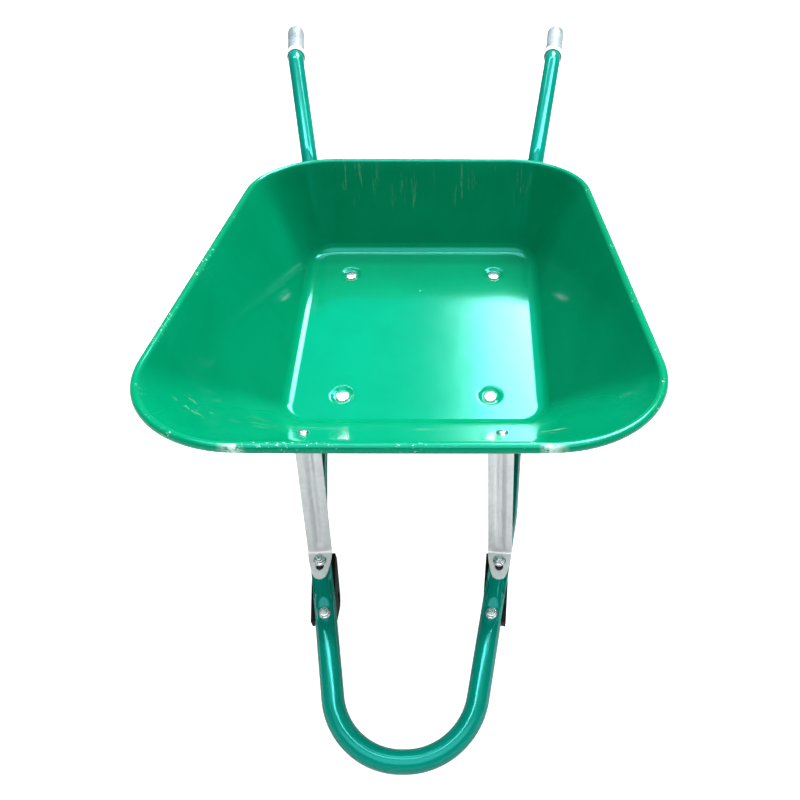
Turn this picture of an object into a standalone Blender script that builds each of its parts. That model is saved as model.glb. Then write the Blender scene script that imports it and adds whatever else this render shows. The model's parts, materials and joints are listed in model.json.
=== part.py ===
"""A builder's wheelbarrow with no wheel fitted: tray, bent tube frame, stays, axle brackets, legs and fasteners.

Sizes are millimetres in the tray's own frame: X to the right, Y from the nose towards the handles, Z up, with
the origin on the upper face of the tray's floor, midway between its two front bolts. One empty carries every
piece and tips that frame forwards, so that the nose loop and the toes of the feet stand on Z = 0.
"""

import math

import bmesh
import bpy
from mathutils import Matrix, Quaternion, Vector

MM = 0.001
GAP = 0.3  # left between pieces that touch

# Tray: floor outline, rim outline (the centre line of its rolled bead) and the pressed details.
TRAY_SHEET = 1.2
FLOOR_HALF_WIDTH = 220.0
FLOOR_FRONT_Y = -60.0
FLOOR_REAR_Y = 394.0
FLOOR_CORNER_RADIUS = 45.0
FLOOR_FILLET = 24.0
RIM_FRONT = Vector((338.6, -351.0, 298.0))
RIM_REAR = Vector((292.6, 450.0, 163.0))
RIM_FRONT_RADIUS = 153.0
RIM_REAR_RADIUS = 140.0
BEAD_RADIUS = 7.0
BEAD_SWEEP = math.radians(280)
BEAD_STEPS = 9
DISH_RADIUS = 21.4
DISH_FLOOR_RADIUS = 13.0
DISH_DEPTH = 4.0

# Bolt places on the tray's floor: half spacing and Y.
FRONT_BOLTS = (125.7, 0.0)
REAR_BOLTS = (139.6, 320.4)

# Frame tube: corners of its centre line on the right-hand side, each with its bend radius.
TUBE_RADIUS = 16.0
TUBE_WALL = 1.5
RAIL_Z = -33.0
NOSE = Vector((86.1, -573.0, -93.4))
NOSE_TURN = 80.07  # degrees, at each side of the nose loop
SPREAD_CHANGE = Vector((148.8, -215.0, -42.9))
RAIL_START = Vector((155.5, -145.0, RAIL_Z))
RAIL_END = Vector((209.2, 416.5, RAIL_Z))
HANDLE_FOOT = Vector((220.5, 490.0, 124.6))
GRIP_BEND = Vector((262.8, 716.0, 230.0))
HANDLE_END = Vector((278.4, 835.0, 233.0))
DIMPLE_DEPTH = 4.0
DIMPLE_FLAT = 13.0
DIMPLE_RADIUS = 20.0

# Fasteners: M8 mushroom-head bolts with flanged nuts.
BOLT_RADIUS = 4.0
HOLE_RADIUS = 4.5
HEAD_RADIUS = 8.5
HEAD_HEIGHT = 3.4
TRAY_HEAD_RADIUS = 12.0  # the wide heads that fill the floor's dishes
NUT_FLATS = 13.0
NUT_HEIGHT = 7.5
NUT_FLANGE_RADIUS = 8.8
NUT_FLANGE = 1.5
BOLT_SHOWING = 2.0  # thread past the nut
WASHER_RADIUS = 9.5
WASHER_THICKNESS = 1.6

# Pressed strips: stays, legs, struts and brace have one groove down the middle.
STRIP_SHEET = 2.5
GROOVE_DEPTH = 5.0
GROOVE_HALF = 8.0
GROOVE_FLOOR_HALF = 2.5
EAR = 55.0  # the flat length at each end of a strip, with its bend

# Axle brackets.
BRACKET_BOLT_YS = (-375.5, -298.0)
BRACKET_MIDDLE_Y = -331.5
BRACKET_YAW = 0.08
BRACKET_WALL = 3.0
BRACKET_HALF_WIDTH = 17.5
BRACKET_HALF_LENGTH = 52.5
BRACKET_END_DEPTH = 25.0
AXLE_HOLE_RADIUS = 8.5
AXLE_BOSS_RADIUS = 19.0
AXLE_DROP = 48.0  # from the tube's centre line to the axle

STAY_TOP_X = 130.0
STAY_HALF_WIDTH = 17.7
STAY_LEAN = 0.24  # run per rise
STAY_TONGUE = ((1.0, 4.0), (3.5, 8.0), (8.0, 11.0), (14.0, 12.7), (40.0, STAY_HALF_WIDTH))

# Cross-members and legs.
MEMBER_SHEET = 2.0
MEMBER_HALF_WIDTH = 20.0
MEMBER_OVERHANG = 22.0
GROUND_Z = -305.0
LEG_HALF_WIDTH = 17.0
FOOT_LENGTH = 64.0
LEG_KNEE = 28.0  # behind the rail's bolt, where the leg turns down
LEG_ANKLE = 36.0  # and where it turns into the foot
BRACE_Z = -128.0
STRUT_Z = -214.0

# Grips.
GRIP_LENGTH = 104.0
GRIP_RADIUS = 18.0
COLLAR_LENGTH = 15.0
COLLAR_RADIUS = 19.2

COLOURS = {  # colour, roughness, metallic
    "green_paint": ((0.0, 0.30, 0.16), 0.2, 0.0),
    "zinc": ((0.62, 0.64, 0.66), 0.35, 1.0),
    "galvanised": ((0.70, 0.71, 0.73), 0.45, 1.0),
    "black_paint": ((0.01, 0.01, 0.01), 0.35, 0.0),
    "grip_grey": ((0.45, 0.49, 0.50), 0.4, 0.0),
    "collar_white": ((0.85, 0.87, 0.87), 0.4, 0.0),
}


# ---------------------------------------------------------------- scene and objects


def clear_scene():
    for item in list(bpy.data.objects):
        bpy.data.objects.remove(item, do_unlink=True)


def new_collection(name):
    group = bpy.data.collections.new(name)
    bpy.context.scene.collection.children.link(group)
    return group


def new_materials():
    made = {}
    for name, (colour, roughness, metallic) in COLOURS.items():
        made[name] = bpy.data.materials.new(name)
        made[name].use_nodes = True
        shader = made[name].node_tree.nodes["Principled BSDF"]
        shader.inputs["Base Color"].default_value = (*colour, 1)
        shader.inputs["Roughness"].default_value = roughness
        shader.inputs["Metallic"].default_value = metallic
    return made


def add_object(name, mesh, material, matrix=None):
    """A part: an object of its own under the root, whose mesh may be shared."""
    item = bpy.data.objects.new(name, mesh)
    PARTS.objects.link(item)
    item.parent = ROOT
    item.matrix_local = matrix or Matrix()
    if not mesh.materials:
        mesh.materials.append(MATERIALS[material])
    return item


def add_cutter(name, mesh):
    item = bpy.data.objects.new(name, mesh)
    CUTTERS.objects.link(item)
    item.parent = ROOT
    item.hide_render = True
    item.display_type = "WIRE"
    return item


def add_boolean(item, operation, tool):
    modifier = item.modifiers.new(tool.name, "BOOLEAN")
    modifier.operation = operation
    modifier.object = tool
    modifier.solver = "EXACT"


def add_solidify(item, thickness):
    """Thickens an open surface behind its faces."""
    modifier = item.modifiers.new("sheet", "SOLIDIFY")
    modifier.thickness = thickness * MM
    modifier.offset = -1
    modifier.use_even_offset = True


def shade(mesh, degrees=35):
    mesh.shade_smooth()
    mesh.set_sharp_from_angle(angle=math.radians(degrees))


def mesh_from(name, points, faces):
    mesh = bpy.data.meshes.new(name)
    mesh.from_pydata([point * MM for point in points], [], faces)
    mesh.validate()
    return mesh


def mirrored_copy(item, name):
    """The left-hand twin of a finished right-hand part."""
    bpy.context.view_layer.update()
    evaluated = item.evaluated_get(bpy.context.evaluated_depsgraph_get())
    mesh = bpy.data.meshes.new_from_object(evaluated)
    mesh.transform(Matrix.Diagonal((-1, 1, 1, 1)))
    mesh.flip_normals()
    return add_object(name, mesh, item.data.materials[0].name)


# ---------------------------------------------------------------- geometry helpers


def standing(point, direction):
    """The matrix that puts an upright piece at a point, with its +Z along a direction."""
    turn = direction.to_track_quat("Z", "Y").to_matrix().to_4x4()
    return Matrix.Translation(point * MM) @ turn


def opposite(vector):
    return Vector((-vector.x, vector.y, vector.z))


def rounded_corner(before, corner, after, radius, steps):
    """Points of the arc that rounds a corner, from one leg to the other."""
    back = (before - corner).normalized()
    ahead = (after - corner).normalized()
    half = back.angle(ahead) / 2
    centre = corner + (back + ahead).normalized() * (radius / math.sin(half))
    start = corner + back * (radius / math.tan(half)) - centre
    turn = math.pi - 2 * half
    axis = back.cross(ahead) * -1
    return [centre + Quaternion(axis, turn * step / steps) @ start for step in range(steps + 1)]


def bent_path(corners, radii, degrees_per_step=14):
    """An open centre line through corners, each inner one rounded to its radius."""
    points = [corners[0]]
    for before, corner, after, radius in zip(corners, corners[1:], corners[2:], radii):
        turn = (corner - before).angle(after - corner)
        steps = max(2, round(math.degrees(turn) / degrees_per_step))
        points += rounded_corner(before, corner, after, radius, steps)
    points.append(corners[-1])
    return points


def grid_faces(rows, columns, wrap_columns=False, wrap_rows=False):
    """Quads over rows of points, listed row by row."""
    faces = []
    for row in range(rows if wrap_rows else rows - 1):
        for column in range(columns if wrap_columns else columns - 1):
            right = (column + 1) % columns
            below = (row + 1) % rows
            faces.append((row * columns + column, below * columns + column,
                          below * columns + right, row * columns + right))
    return faces


def stations_along(points, marks):
    """Places on a centre line: its own points and the marks (lengths from its start), as (length, place, way)."""
    lengths = [0.0]
    for first, second in zip(points, points[1:]):
        lengths.append(lengths[-1] + (second - first).length)
    ways = [(second - first).normalized() for first, second in zip(points, points[1:])]
    places = []
    for index, point in enumerate(points):
        before = ways[max(index - 1, 0)]
        after = ways[min(index, len(ways) - 1)]
        places.append((lengths[index], point, (before + after).normalized()))
    for mark in marks:
        if min(abs(mark - length) for length in lengths) < 0.5:
            continue
        index = max(i for i, length in enumerate(lengths[:-1]) if length <= mark)
        places.append((mark, points[index] + ways[index] * (mark - lengths[index]), ways[index]))
    return sorted(places, key=lambda place: place[0]), lengths[-1]


# ---------------------------------------------------------------- fasteners


def ring_mesh(name, profile_at, steps):
    """A closed ring: profile_at gives its section, as (radius, z) pairs, at each angle about Z."""
    points = []
    for step in range(steps):
        angle = 2 * math.pi * step / steps
        for radius, z in profile_at(angle):
            points.append(Vector((radius * math.cos(angle), radius * math.sin(angle), z)))
    columns = len(points) // steps
    mesh = mesh_from(name, points, grid_faces(steps, columns, wrap_columns=True, wrap_rows=True))
    mesh.materials.append(MATERIALS["zinc"])
    return mesh


def nut_profile(angle):
    """Hexagon above a round flange, with the bolt's clearance hole."""
    from_flat = abs((math.degrees(angle) % 60) - 30)
    hexagon = NUT_FLATS / 2 / math.cos(math.radians(from_flat))
    bore = BOLT_RADIUS + GAP
    return ((bore, 0), (NUT_FLANGE_RADIUS, 0), (NUT_FLANGE_RADIUS, NUT_FLANGE),
            (hexagon, NUT_FLANGE + 0.6), (hexagon, NUT_HEIGHT), (bore, NUT_HEIGHT))


def washer_profile(_angle):
    bore = BOLT_RADIUS + GAP
    return ((bore, 0), (WASHER_RADIUS, 0), (WASHER_RADIUS, WASHER_THICKNESS), (bore, WASHER_THICKNESS))


def turned(name, profile, matrix, material, steps=12):
    """A turned solid: the profile's (radius, z) pairs run from the top down the outside, about local Z."""
    mesh = bpy.data.meshes.new(name)
    points = [Vector((radius, 0, z)) * MM for radius, z in profile]
    mesh.from_pydata(points, [(i, i + 1) for i in range(len(points) - 1)], [])
    item = add_object(name, mesh, material, matrix)
    screw = item.modifiers.new("turn", "SCREW")
    screw.steps = screw.render_steps = steps
    screw.use_merge_vertices = True
    screw.merge_threshold = 1e-5
    return item


def bolt(name, seat, direction, reach, head_radius):
    """A mushroom-head bolt: its head's underside is at the seat, its head points along the direction."""
    profile = ((0, HEAD_HEIGHT), (head_radius * 0.47, HEAD_HEIGHT * 0.9), (head_radius * 0.85, HEAD_HEIGHT * 0.5),
               (head_radius, 0),
               (BOLT_RADIUS, 0), (BOLT_RADIUS, -reach), (0, -reach))
    return turned(name, profile, standing(seat, direction), "zinc", steps=10)


def fasten(name, seat, direction, grip, head_radius=HEAD_RADIUS):
    """A bolt whose head stands on the seat, and its nut on the far side of a grip's thickness."""
    for side, flip in (("right", lambda vector: vector), ("left", opposite)):
        head = flip(direction)
        place = flip(seat) + head * GAP
        bolt(f"{name}_bolt_{side}", place, head, grip + 3 * GAP + NUT_HEIGHT + BOLT_SHOWING, head_radius)
        under = flip(seat) - head * (grip + GAP)
        add_object(f"{name}_nut_{side}", NUT, "zinc", standing(under, -head))


def hole_mesh(name, holes, radius, reach, sides=12):
    """Cylinders through the given (place, direction) pairs, as one cutter's mesh."""
    builder = bmesh.new()
    for place, direction in holes:
        bmesh.ops.create_cone(builder, cap_ends=True, segments=sides, radius1=radius * MM, radius2=radius * MM,
                              depth=2 * reach * MM, matrix=standing(place, direction))
    mesh = bpy.data.meshes.new(name)
    builder.to_mesh(mesh)
    builder.free()
    return mesh


def cut_holes(item, name, holes, radius=HOLE_RADIUS, reach=12.0):
    add_boolean(item, "DIFFERENCE", add_cutter(name, hole_mesh(name, holes, radius, reach)))


# ---------------------------------------------------------------- tray


def tray_outline(front, rear, front_radius, rear_radius):
    """A tapered, round-cornered outline, anticlockwise from above; the points match between outlines."""
    corners = [Vector((-front.x, front.y, front.z)), front, rear, Vector((-rear.x, rear.y, rear.z))]
    radii = (front_radius, front_radius, rear_radius, rear_radius)
    arcs = []
    for index, corner in enumerate(corners):
        before = corners[index - 1]
        after = corners[(index + 1) % 4]
        arcs.append(rounded_corner(before, corner, after, radii[index], 6))
    outline = []
    for index, arc in enumerate(arcs):
        following = arcs[(index + 1) % 4][0]
        outline += arc
        outline.append((arc[-1] + following) / 2)
    return outline


def outward_ways(outline):
    """The level way out of an anticlockwise outline at each of its points."""
    ways = []
    for before, point, after in zip(outline[-1:] + outline, outline, outline[1:] + outline[:1]):
        along = (point - before).normalized() + (after - point).normalized()
        ways.append(Vector((along.y, -along.x, 0)).normalized())
    return ways


def tray_section(floor_point, floor_out, bead_centre, bead_out):
    """From the floor's edge up through the fillet and the wall, then round the rolled bead."""
    up = Vector((0, 0, 1))
    span = bead_centre - floor_point
    rise = math.atan2(span.z, span.dot(bead_out)) + math.asin(BEAD_RADIUS / span.length)
    bead = []
    for step in range(BEAD_STEPS + 1):
        angle = rise + math.pi / 2 - BEAD_SWEEP * step / BEAD_STEPS
        bead.append(bead_centre + (bead_out * math.cos(angle) + up * math.sin(angle)) * BEAD_RADIUS)
    return rounded_corner(floor_point - floor_out, floor_point, bead[0], FLOOR_FILLET, 4) + bead


def front_wall():
    """A point on the front wall's inner face at X = 0, its upward way and its outward normal."""
    foot = Vector((0, FLOOR_FRONT_Y, 0))
    span = Vector((0, RIM_FRONT.y, RIM_FRONT.z)) - foot
    rise = math.atan2(span.z, -span.y) + math.asin(BEAD_RADIUS / span.length)
    return foot, Vector((0, -math.cos(rise), math.sin(rise))), Vector((0, -math.sin(rise), -math.cos(rise)))


def dish_places():
    places = []
    for half, y in (FRONT_BOLTS, REAR_BOLTS):
        places += [Vector((half, y, 0)), Vector((-half, y, 0))]
    return places


def frusta(name, bottom_z, bottom_radius, top_z, top_radius):
    builder = bmesh.new()
    for place in dish_places():
        middle = place + Vector((0, 0, (bottom_z + top_z) / 2))
        bmesh.ops.create_cone(builder, cap_ends=True, segments=20, radius1=bottom_radius * MM,
                              radius2=top_radius * MM, depth=(top_z - bottom_z) * MM,
                              matrix=Matrix.Translation(middle * MM))
    mesh = bpy.data.meshes.new(name)
    builder.to_mesh(mesh)
    builder.free()
    return add_cutter(name, mesh)


def make_tray(stay_seat, stay_way):
    floor = tray_outline(Vector((FLOOR_HALF_WIDTH, FLOOR_FRONT_Y, 0)), Vector((FLOOR_HALF_WIDTH, FLOOR_REAR_Y, 0)),
                         FLOOR_CORNER_RADIUS, FLOOR_CORNER_RADIUS)
    bead = tray_outline(RIM_FRONT, RIM_REAR, RIM_FRONT_RADIUS, RIM_REAR_RADIUS)
    sections = [tray_section(*edges) for edges in zip(floor, outward_ways(floor), bead, outward_ways(bead))]
    count = len(sections)
    rings = list(zip(*sections))
    points = [point for ring in rings for point in ring]
    faces = grid_faces(len(rings), count, wrap_columns=True)
    faces.append(tuple(range(count)))
    mesh = mesh_from("tray", points, faces)
    shade(mesh)
    tray = add_object("tray", mesh, "green_paint")
    add_solidify(tray, TRAY_SHEET)
    slope = (DISH_RADIUS - DISH_FLOOR_RADIUS) / DISH_DEPTH
    below = DISH_DEPTH + TRAY_SHEET
    skin = TRAY_SHEET * 1.1
    middle = TRAY_SHEET / 2
    add_boolean(tray, "UNION", frusta("dish_backs", -below, DISH_FLOOR_RADIUS + skin,
                                      -middle, DISH_RADIUS + skin + slope * middle))
    over = 0.2
    add_boolean(tray, "DIFFERENCE", frusta("dishes", -DISH_DEPTH, DISH_FLOOR_RADIUS,
                                           over, DISH_RADIUS + slope * over))
    up = Vector((0, 0, 1))
    holes = [(place, up) for place in dish_places()]
    holes += [(stay_seat, stay_way), (opposite(stay_seat), opposite(stay_way))]
    cut_holes(tray, "tray_holes", holes)


# ---------------------------------------------------------------- frame tube


def rail_segment(y):
    """The corners of the right-hand tube's centre line before and after a place between nose and handle."""
    corners = (NOSE, SPREAD_CHANGE, RAIL_START, RAIL_END)
    index = max(i for i, corner in enumerate(corners[:-1]) if corner.y <= y)
    return corners[index], corners[index + 1]


def rail_point(y):
    before, after = rail_segment(y)
    return before.lerp(after, (y - before.y) / (after.y - before.y))


def rail_up(y):
    """The upward way across the tube."""
    before, after = rail_segment(y)
    along = (after - before).normalized()
    return Vector((along.y, -along.x, 0)).normalized().cross(along)


def tube_corners():
    """Right half of the centre line, from the nose to the grip's bend, with each corner's bend radius."""
    nose_radius = 0.97 * NOSE.x / math.tan(math.radians(NOSE_TURN / 2))
    return [(NOSE, nose_radius), (SPREAD_CHANGE, 250.0), (RAIL_START, 250.0), (RAIL_END, 100.0),
            (HANDLE_FOOT, 100.0), (GRIP_BEND, 45.0)]


def make_tube(bolts):
    """bolts: (place, direction) of each right-hand bolt that goes through the tube, dimpled ones first."""
    half = tube_corners()
    corners = [opposite(HANDLE_END)] + [opposite(corner) for corner, _ in reversed(half)]
    corners += [corner for corner, _ in half] + [HANDLE_END]
    radii = [radius for _, radius in reversed(half)] + [radius for _, radius in half]
    path = bent_path(corners, radii, degrees_per_step=16)

    dimple, up = bolts[0]
    extra = []
    for place in (dimple, opposite(dimple)):
        gone = 0.0
        for first, second in zip(path, path[1:]):
            way = (second - first).normalized()
            reach = (place - first).dot(way)
            if 0 < reach < (second - first).length and (first + way * reach - place).length < 1.2 * TUBE_RADIUS:
                extra += [gone + reach + step
                          for step in (-DIMPLE_RADIUS, -DIMPLE_FLAT, 0, DIMPLE_FLAT, DIMPLE_RADIUS)]
            gone += (second - first).length
    places, _ = stations_along(path, extra)

    curve = bpy.data.curves.new("tube_path", "CURVE")
    curve.dimensions = "3D"
    curve.bevel_depth = TUBE_RADIUS * MM
    curve.bevel_resolution = 4
    curve.twist_mode = "Z_UP"
    spline = curve.splines.new("POLY")
    spline.points.add(len(places) - 1)
    for point, (_, place, _) in zip(spline.points, places):
        point.co = (*(place * MM), 1)
    guide = bpy.data.objects.new("tube_path", curve)
    PARTS.objects.link(guide)
    bpy.context.view_layer.update()
    mesh = bpy.data.meshes.new_from_object(guide.evaluated_get(bpy.context.evaluated_depsgraph_get()))
    bpy.data.objects.remove(guide, do_unlink=True)
    mesh.name = "frame_tube"

    before, after = rail_segment(dimple.y)
    run = (after - before).normalized()
    for seat, normal, way in ((dimple, up, run), (opposite(dimple), opposite(up), opposite(run))):
        for vertex in mesh.vertices:
            away = vertex.co / MM - seat
            blend = (abs(away.dot(way)) - DIMPLE_FLAT - 1) / (DIMPLE_RADIUS - DIMPLE_FLAT - 2)
            limit = -DIMPLE_DEPTH * (1 - min(max(blend, 0), 1))
            if limit < away.dot(normal) < 1:
                vertex.co += normal * (limit - away.dot(normal)) * MM
    shade(mesh)
    tube = add_object("frame_tube", mesh, "green_paint")
    add_solidify(tube, TUBE_WALL)
    holes = []
    for seat, normal in bolts:
        middle = seat - normal * TUBE_RADIUS
        holes += [(middle, normal), (opposite(middle), opposite(normal))]
    cut_holes(tube, "tube_holes", holes, reach=TUBE_RADIUS + 8)


def make_grips():
    for side, flip in (("right", lambda vector: vector), ("left", opposite)):
        end = flip(HANDLE_END)
        way = (end - flip(GRIP_BEND)).normalized()
        inner = TUBE_RADIUS + GAP
        cap = GAP + 2.5
        dome = 5.0
        length = GRIP_LENGTH - COLLAR_LENGTH
        profile = ((0, cap), (GRIP_RADIUS - dome, cap), (GRIP_RADIUS - 1.5, cap - 1.5), (GRIP_RADIUS, cap - dome),
                   (GRIP_RADIUS, -length), (inner, -length), (inner, GAP), (0, GAP))
        grip = turned(f"grip_{side}", profile, standing(end, way), "grip_grey", steps=16)
        shade(grip.data)
        low = -GRIP_LENGTH
        high = -length - GAP
        section = ((inner, high), (GRIP_RADIUS, high), (COLLAR_RADIUS, high - 3),
                   (COLLAR_RADIUS, low + 2), (COLLAR_RADIUS - 1.2, low), (inner, low))
        mesh = ring_mesh("grip_collar", lambda _angle: section[::-1], 16)
        mesh.materials.clear()
        add_object(f"grip_collar_{side}", mesh, "collar_white", standing(end, way))


# ---------------------------------------------------------------- pressed strips


def groove_section(place, across, outward, half_width, depth):
    """Six points across a strip: two flats, and a groove pressed in from the outward face."""
    lip = min(GROOVE_HALF, 0.6 * half_width)
    foot = min(GROOVE_FLOOR_HALF, 0.3 * half_width)
    columns = ((half_width, 0), (lip, 0), (foot, depth), (-foot, depth), (-lip, 0), (-half_width, 0))
    return [place + across * offset - outward * sink for offset, sink in columns]


def round_end(half_width):
    return tuple((mark, math.sqrt(half_width**2 - (half_width - mark) ** 2)) for mark in (0.5, 3.5, 8.5, half_width))


def outline_at(outline, length, half_width):
    """The half width at a length from an end, between the outline's given ones."""
    if not outline or length >= outline[-1][0]:
        return half_width
    for (near, narrow), (far, wide) in zip(outline, outline[1:]):
        if length <= far:
            return narrow + (wide - narrow) * max((length - near) / (far - near), 0)
    return half_width


def bent_strip(name, corners, radii, across, half_width, grooves, ends):
    """A strip bent along corners; its outward face is on the side of across x path.

    across holds the way across it at the start and at the end. grooves lists (start, end) as lengths from
    the path's start, a negative end from the path's end. ends gives each end's outline, as pairs of length
    from that end and half width.
    """
    path = bent_path(corners, radii, degrees_per_step=18)
    total = sum((second - first).length for first, second in zip(path, path[1:]))
    ramp = 12.0
    grooves = [(start, end if end > 0 else total + end) for start, end in grooves]
    marks = [mark for start, end in grooves for mark in (start, start + ramp, end - ramp, end)]
    marks += [mark for mark, _ in ends[0]] + [total - mark for mark, _ in ends[1]]
    places, total = stations_along(path, marks)
    sections = []
    for length, place, way in places:
        width = min(outline_at(ends[0], length, half_width), outline_at(ends[1], total - length, half_width))
        turned_over = min(max((length - EAR) / (total - 2 * EAR), 0), 1)
        aside = across[0].lerp(across[1], turned_over)
        depth = 0.0
        for start, end in grooves:
            inside = min((length - start) / ramp, (end - length) / ramp, 1.0)
            depth = max(depth, GROOVE_DEPTH * max(inside, 0.0))
        sections.append(groove_section(place, aside, aside.cross(way), width, depth))
    points = [point for section in sections for point in section]
    mesh = mesh_from(name, points, grid_faces(len(sections), 6))
    shade(mesh)
    strip = add_object(name, mesh, "galvanised")
    add_solidify(strip, STRIP_SHEET)
    return strip


def channel(name, sections, thickness, material):
    """A folded sheet through sections of matching points, thickened behind its outer face."""
    points = [point for section in sections for point in section]
    mesh = mesh_from(name, points, grid_faces(len(sections), len(sections[0])))
    shade(mesh)
    item = add_object(name, mesh, material)
    add_solidify(item, thickness)
    return item


def meet(first, first_way, second, second_way):
    """Where two lines in the YZ plane cross, on the first line."""
    across = Vector((0, second_way.z, -second_way.y))
    return first + first_way * ((second - first).dot(across) / first_way.dot(across))


def slot_cutter(name, place, up, along, radius, run):
    """A round-ended slot from a bolt's place towards the nose."""
    builder = bmesh.new()
    bmesh.ops.create_cone(builder, cap_ends=True, segments=16, radius1=radius * MM, radius2=radius * MM,
                          depth=12 * MM)
    for vertex in builder.verts:
        if vertex.co.y < 0:
            vertex.co.y -= run * MM
    frame = Matrix((along.cross(up), along, up)).transposed().to_4x4()
    bmesh.ops.transform(builder, matrix=Matrix.Translation(place * MM) @ frame, verts=builder.verts)
    mesh = bpy.data.meshes.new(name)
    builder.to_mesh(mesh)
    builder.free()
    return add_cutter(name, mesh)


def make_stays(ear_bolt, up):
    """ear_bolt: where the lower bolt leaves the tube's top. Returns the upper bolt's seat, way and grip."""
    across = Vector((1, -BRACKET_YAW, 0)).normalized()
    along = up.cross(across).normalized()
    ear_face = ear_bolt + up * (GAP + STRIP_SHEET)
    tip = ear_face - along * 29.0
    bend = ear_face + along * 14.5
    rise = Vector((0, STAY_LEAN, 1)).normalized()
    foot, wall, outward = front_wall()
    skin = TRAY_SHEET + GAP + STRIP_SHEET
    top_bend = meet(bend, rise, foot + outward * skin, wall)
    top_bend.x = STAY_TOP_X
    top = top_bend + wall * 36.0
    ends = (STAY_TONGUE, round_end(STAY_HALF_WIDTH))
    stay = bent_strip("stay_right", [tip, bend, top_bend, top], (5.0, 14.0), (across, Vector((1, 0, 0))),
                      STAY_HALF_WIDTH, [(44.0, -52.0)], ends)
    stay_bolt = top_bend + wall * 19.0
    cut_holes(stay, "stay_top_hole", [(stay_bolt, outward)])
    add_boolean(stay, "DIFFERENCE", slot_cutter("stay_slot", ear_face, up, along, 5.9, 9.4))
    mirrored_copy(stay, "stay_left")
    return stay_bolt - outward * skin, -outward, skin


def bracket_outline():
    """Side view of a bracket as (along, up) from the tube's centre line: a flat top and a round axle boss."""
    half = BRACKET_HALF_LENGTH
    boss = [(AXLE_BOSS_RADIUS * math.cos(angle), AXLE_BOSS_RADIUS * math.sin(angle) - AXLE_DROP)
            for angle in (math.radians(-150 + 20 * step) for step in range(7))]
    return [(-half, 0), (-half, -BRACKET_END_DEPTH + 4), (-half + 4, -BRACKET_END_DEPTH), *boss,
            (half - 4, -BRACKET_END_DEPTH), (half, -BRACKET_END_DEPTH + 4), (half, 0)]


def bar_mesh(name, outline, half_width, frame):
    """An outline in the frame's (along, up) plane, extruded across it to both sides."""
    count = len(outline)
    points = [Vector((side, along, up)) for side in (half_width, -half_width) for along, up in outline]
    faces = [tuple(range(count)), tuple(range(2 * count - 1, count - 1, -1))]
    faces += [(i, i + count, (i + 1) % count + count, (i + 1) % count) for i in range(count)]
    mesh = mesh_from(name, points, faces)
    mesh.transform(frame)
    return mesh


def make_brackets(bolts):
    """A moulding cradles the tube, with two plates below its web that hold the axle between them."""
    middle = rail_point(BRACKET_MIDDLE_Y)
    up = rail_up(BRACKET_MIDDLE_Y)
    across = Vector((1, -BRACKET_YAW, 0)).normalized()
    along = up.cross(across).normalized()
    frame = Matrix.Translation(middle * MM) @ Matrix((across, along, across.cross(along))).transposed().to_4x4()
    mesh = bar_mesh("axle_bracket_right", bracket_outline(), BRACKET_HALF_WIDTH, frame)
    shade(mesh)
    bracket = add_object("axle_bracket_right", mesh, "black_paint")
    reach = 2 * BRACKET_HALF_LENGTH
    before, after = rail_segment(BRACKET_MIDDLE_Y)
    cradle = hole_mesh("cradle", [(middle, after - before)], TUBE_RADIUS + 2 * GAP, reach, sides=24)
    add_boolean(bracket, "DIFFERENCE", add_cutter("cradle", cradle))
    web = -(TUBE_RADIUS + GAP + BRACKET_WALL)
    pocket = [(-reach, web), (-reach, 2 * web - AXLE_DROP), (reach, 2 * web - AXLE_DROP), (reach, web)]
    hollow = bar_mesh("bracket_pocket", pocket, BRACKET_HALF_WIDTH - BRACKET_WALL, frame)
    add_boolean(bracket, "DIFFERENCE", add_cutter("bracket_pocket", hollow))
    holes = [(seat - way * TUBE_RADIUS, way) for seat, way in bolts]
    cut_holes(bracket, "bracket_bolt_holes", holes, reach=TUBE_RADIUS + 8)
    axle = middle - up * AXLE_DROP
    cut_holes(bracket, "axle_hole", [(axle, across)], radius=AXLE_HOLE_RADIUS, reach=40.0)
    mirrored_copy(bracket, "axle_bracket_left")


def make_cross_member(name, bolt_half, y):
    """A channel across both rails, open downwards, under two tray bolts; returns its rail bolt's seat."""
    top = -(DISH_DEPTH + TRAY_SHEET + GAP)
    rail = rail_point(y)
    depth = top - (rail.z + TUBE_RADIUS + GAP)
    reach = rail.x + MEMBER_OVERHANG
    sections = []
    for x in (-reach, reach):
        place = Vector((x, y, top))
        sections.append([place + Vector((0, -MEMBER_HALF_WIDTH, -depth)), place + Vector((0, -MEMBER_HALF_WIDTH, 0)),
                         place + Vector((0, MEMBER_HALF_WIDTH, 0)), place + Vector((0, MEMBER_HALF_WIDTH, -depth))])
    member = channel(name, sections, MEMBER_SHEET, "galvanised")
    up = Vector((0, 0, 1))
    holes = []
    for x in (bolt_half, rail.x):
        holes += [(Vector((x, y, top)), up), (Vector((-x, y, top)), up)]
    cut_holes(member, name + "_holes", holes)
    return Vector((rail.x, y, top))


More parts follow.
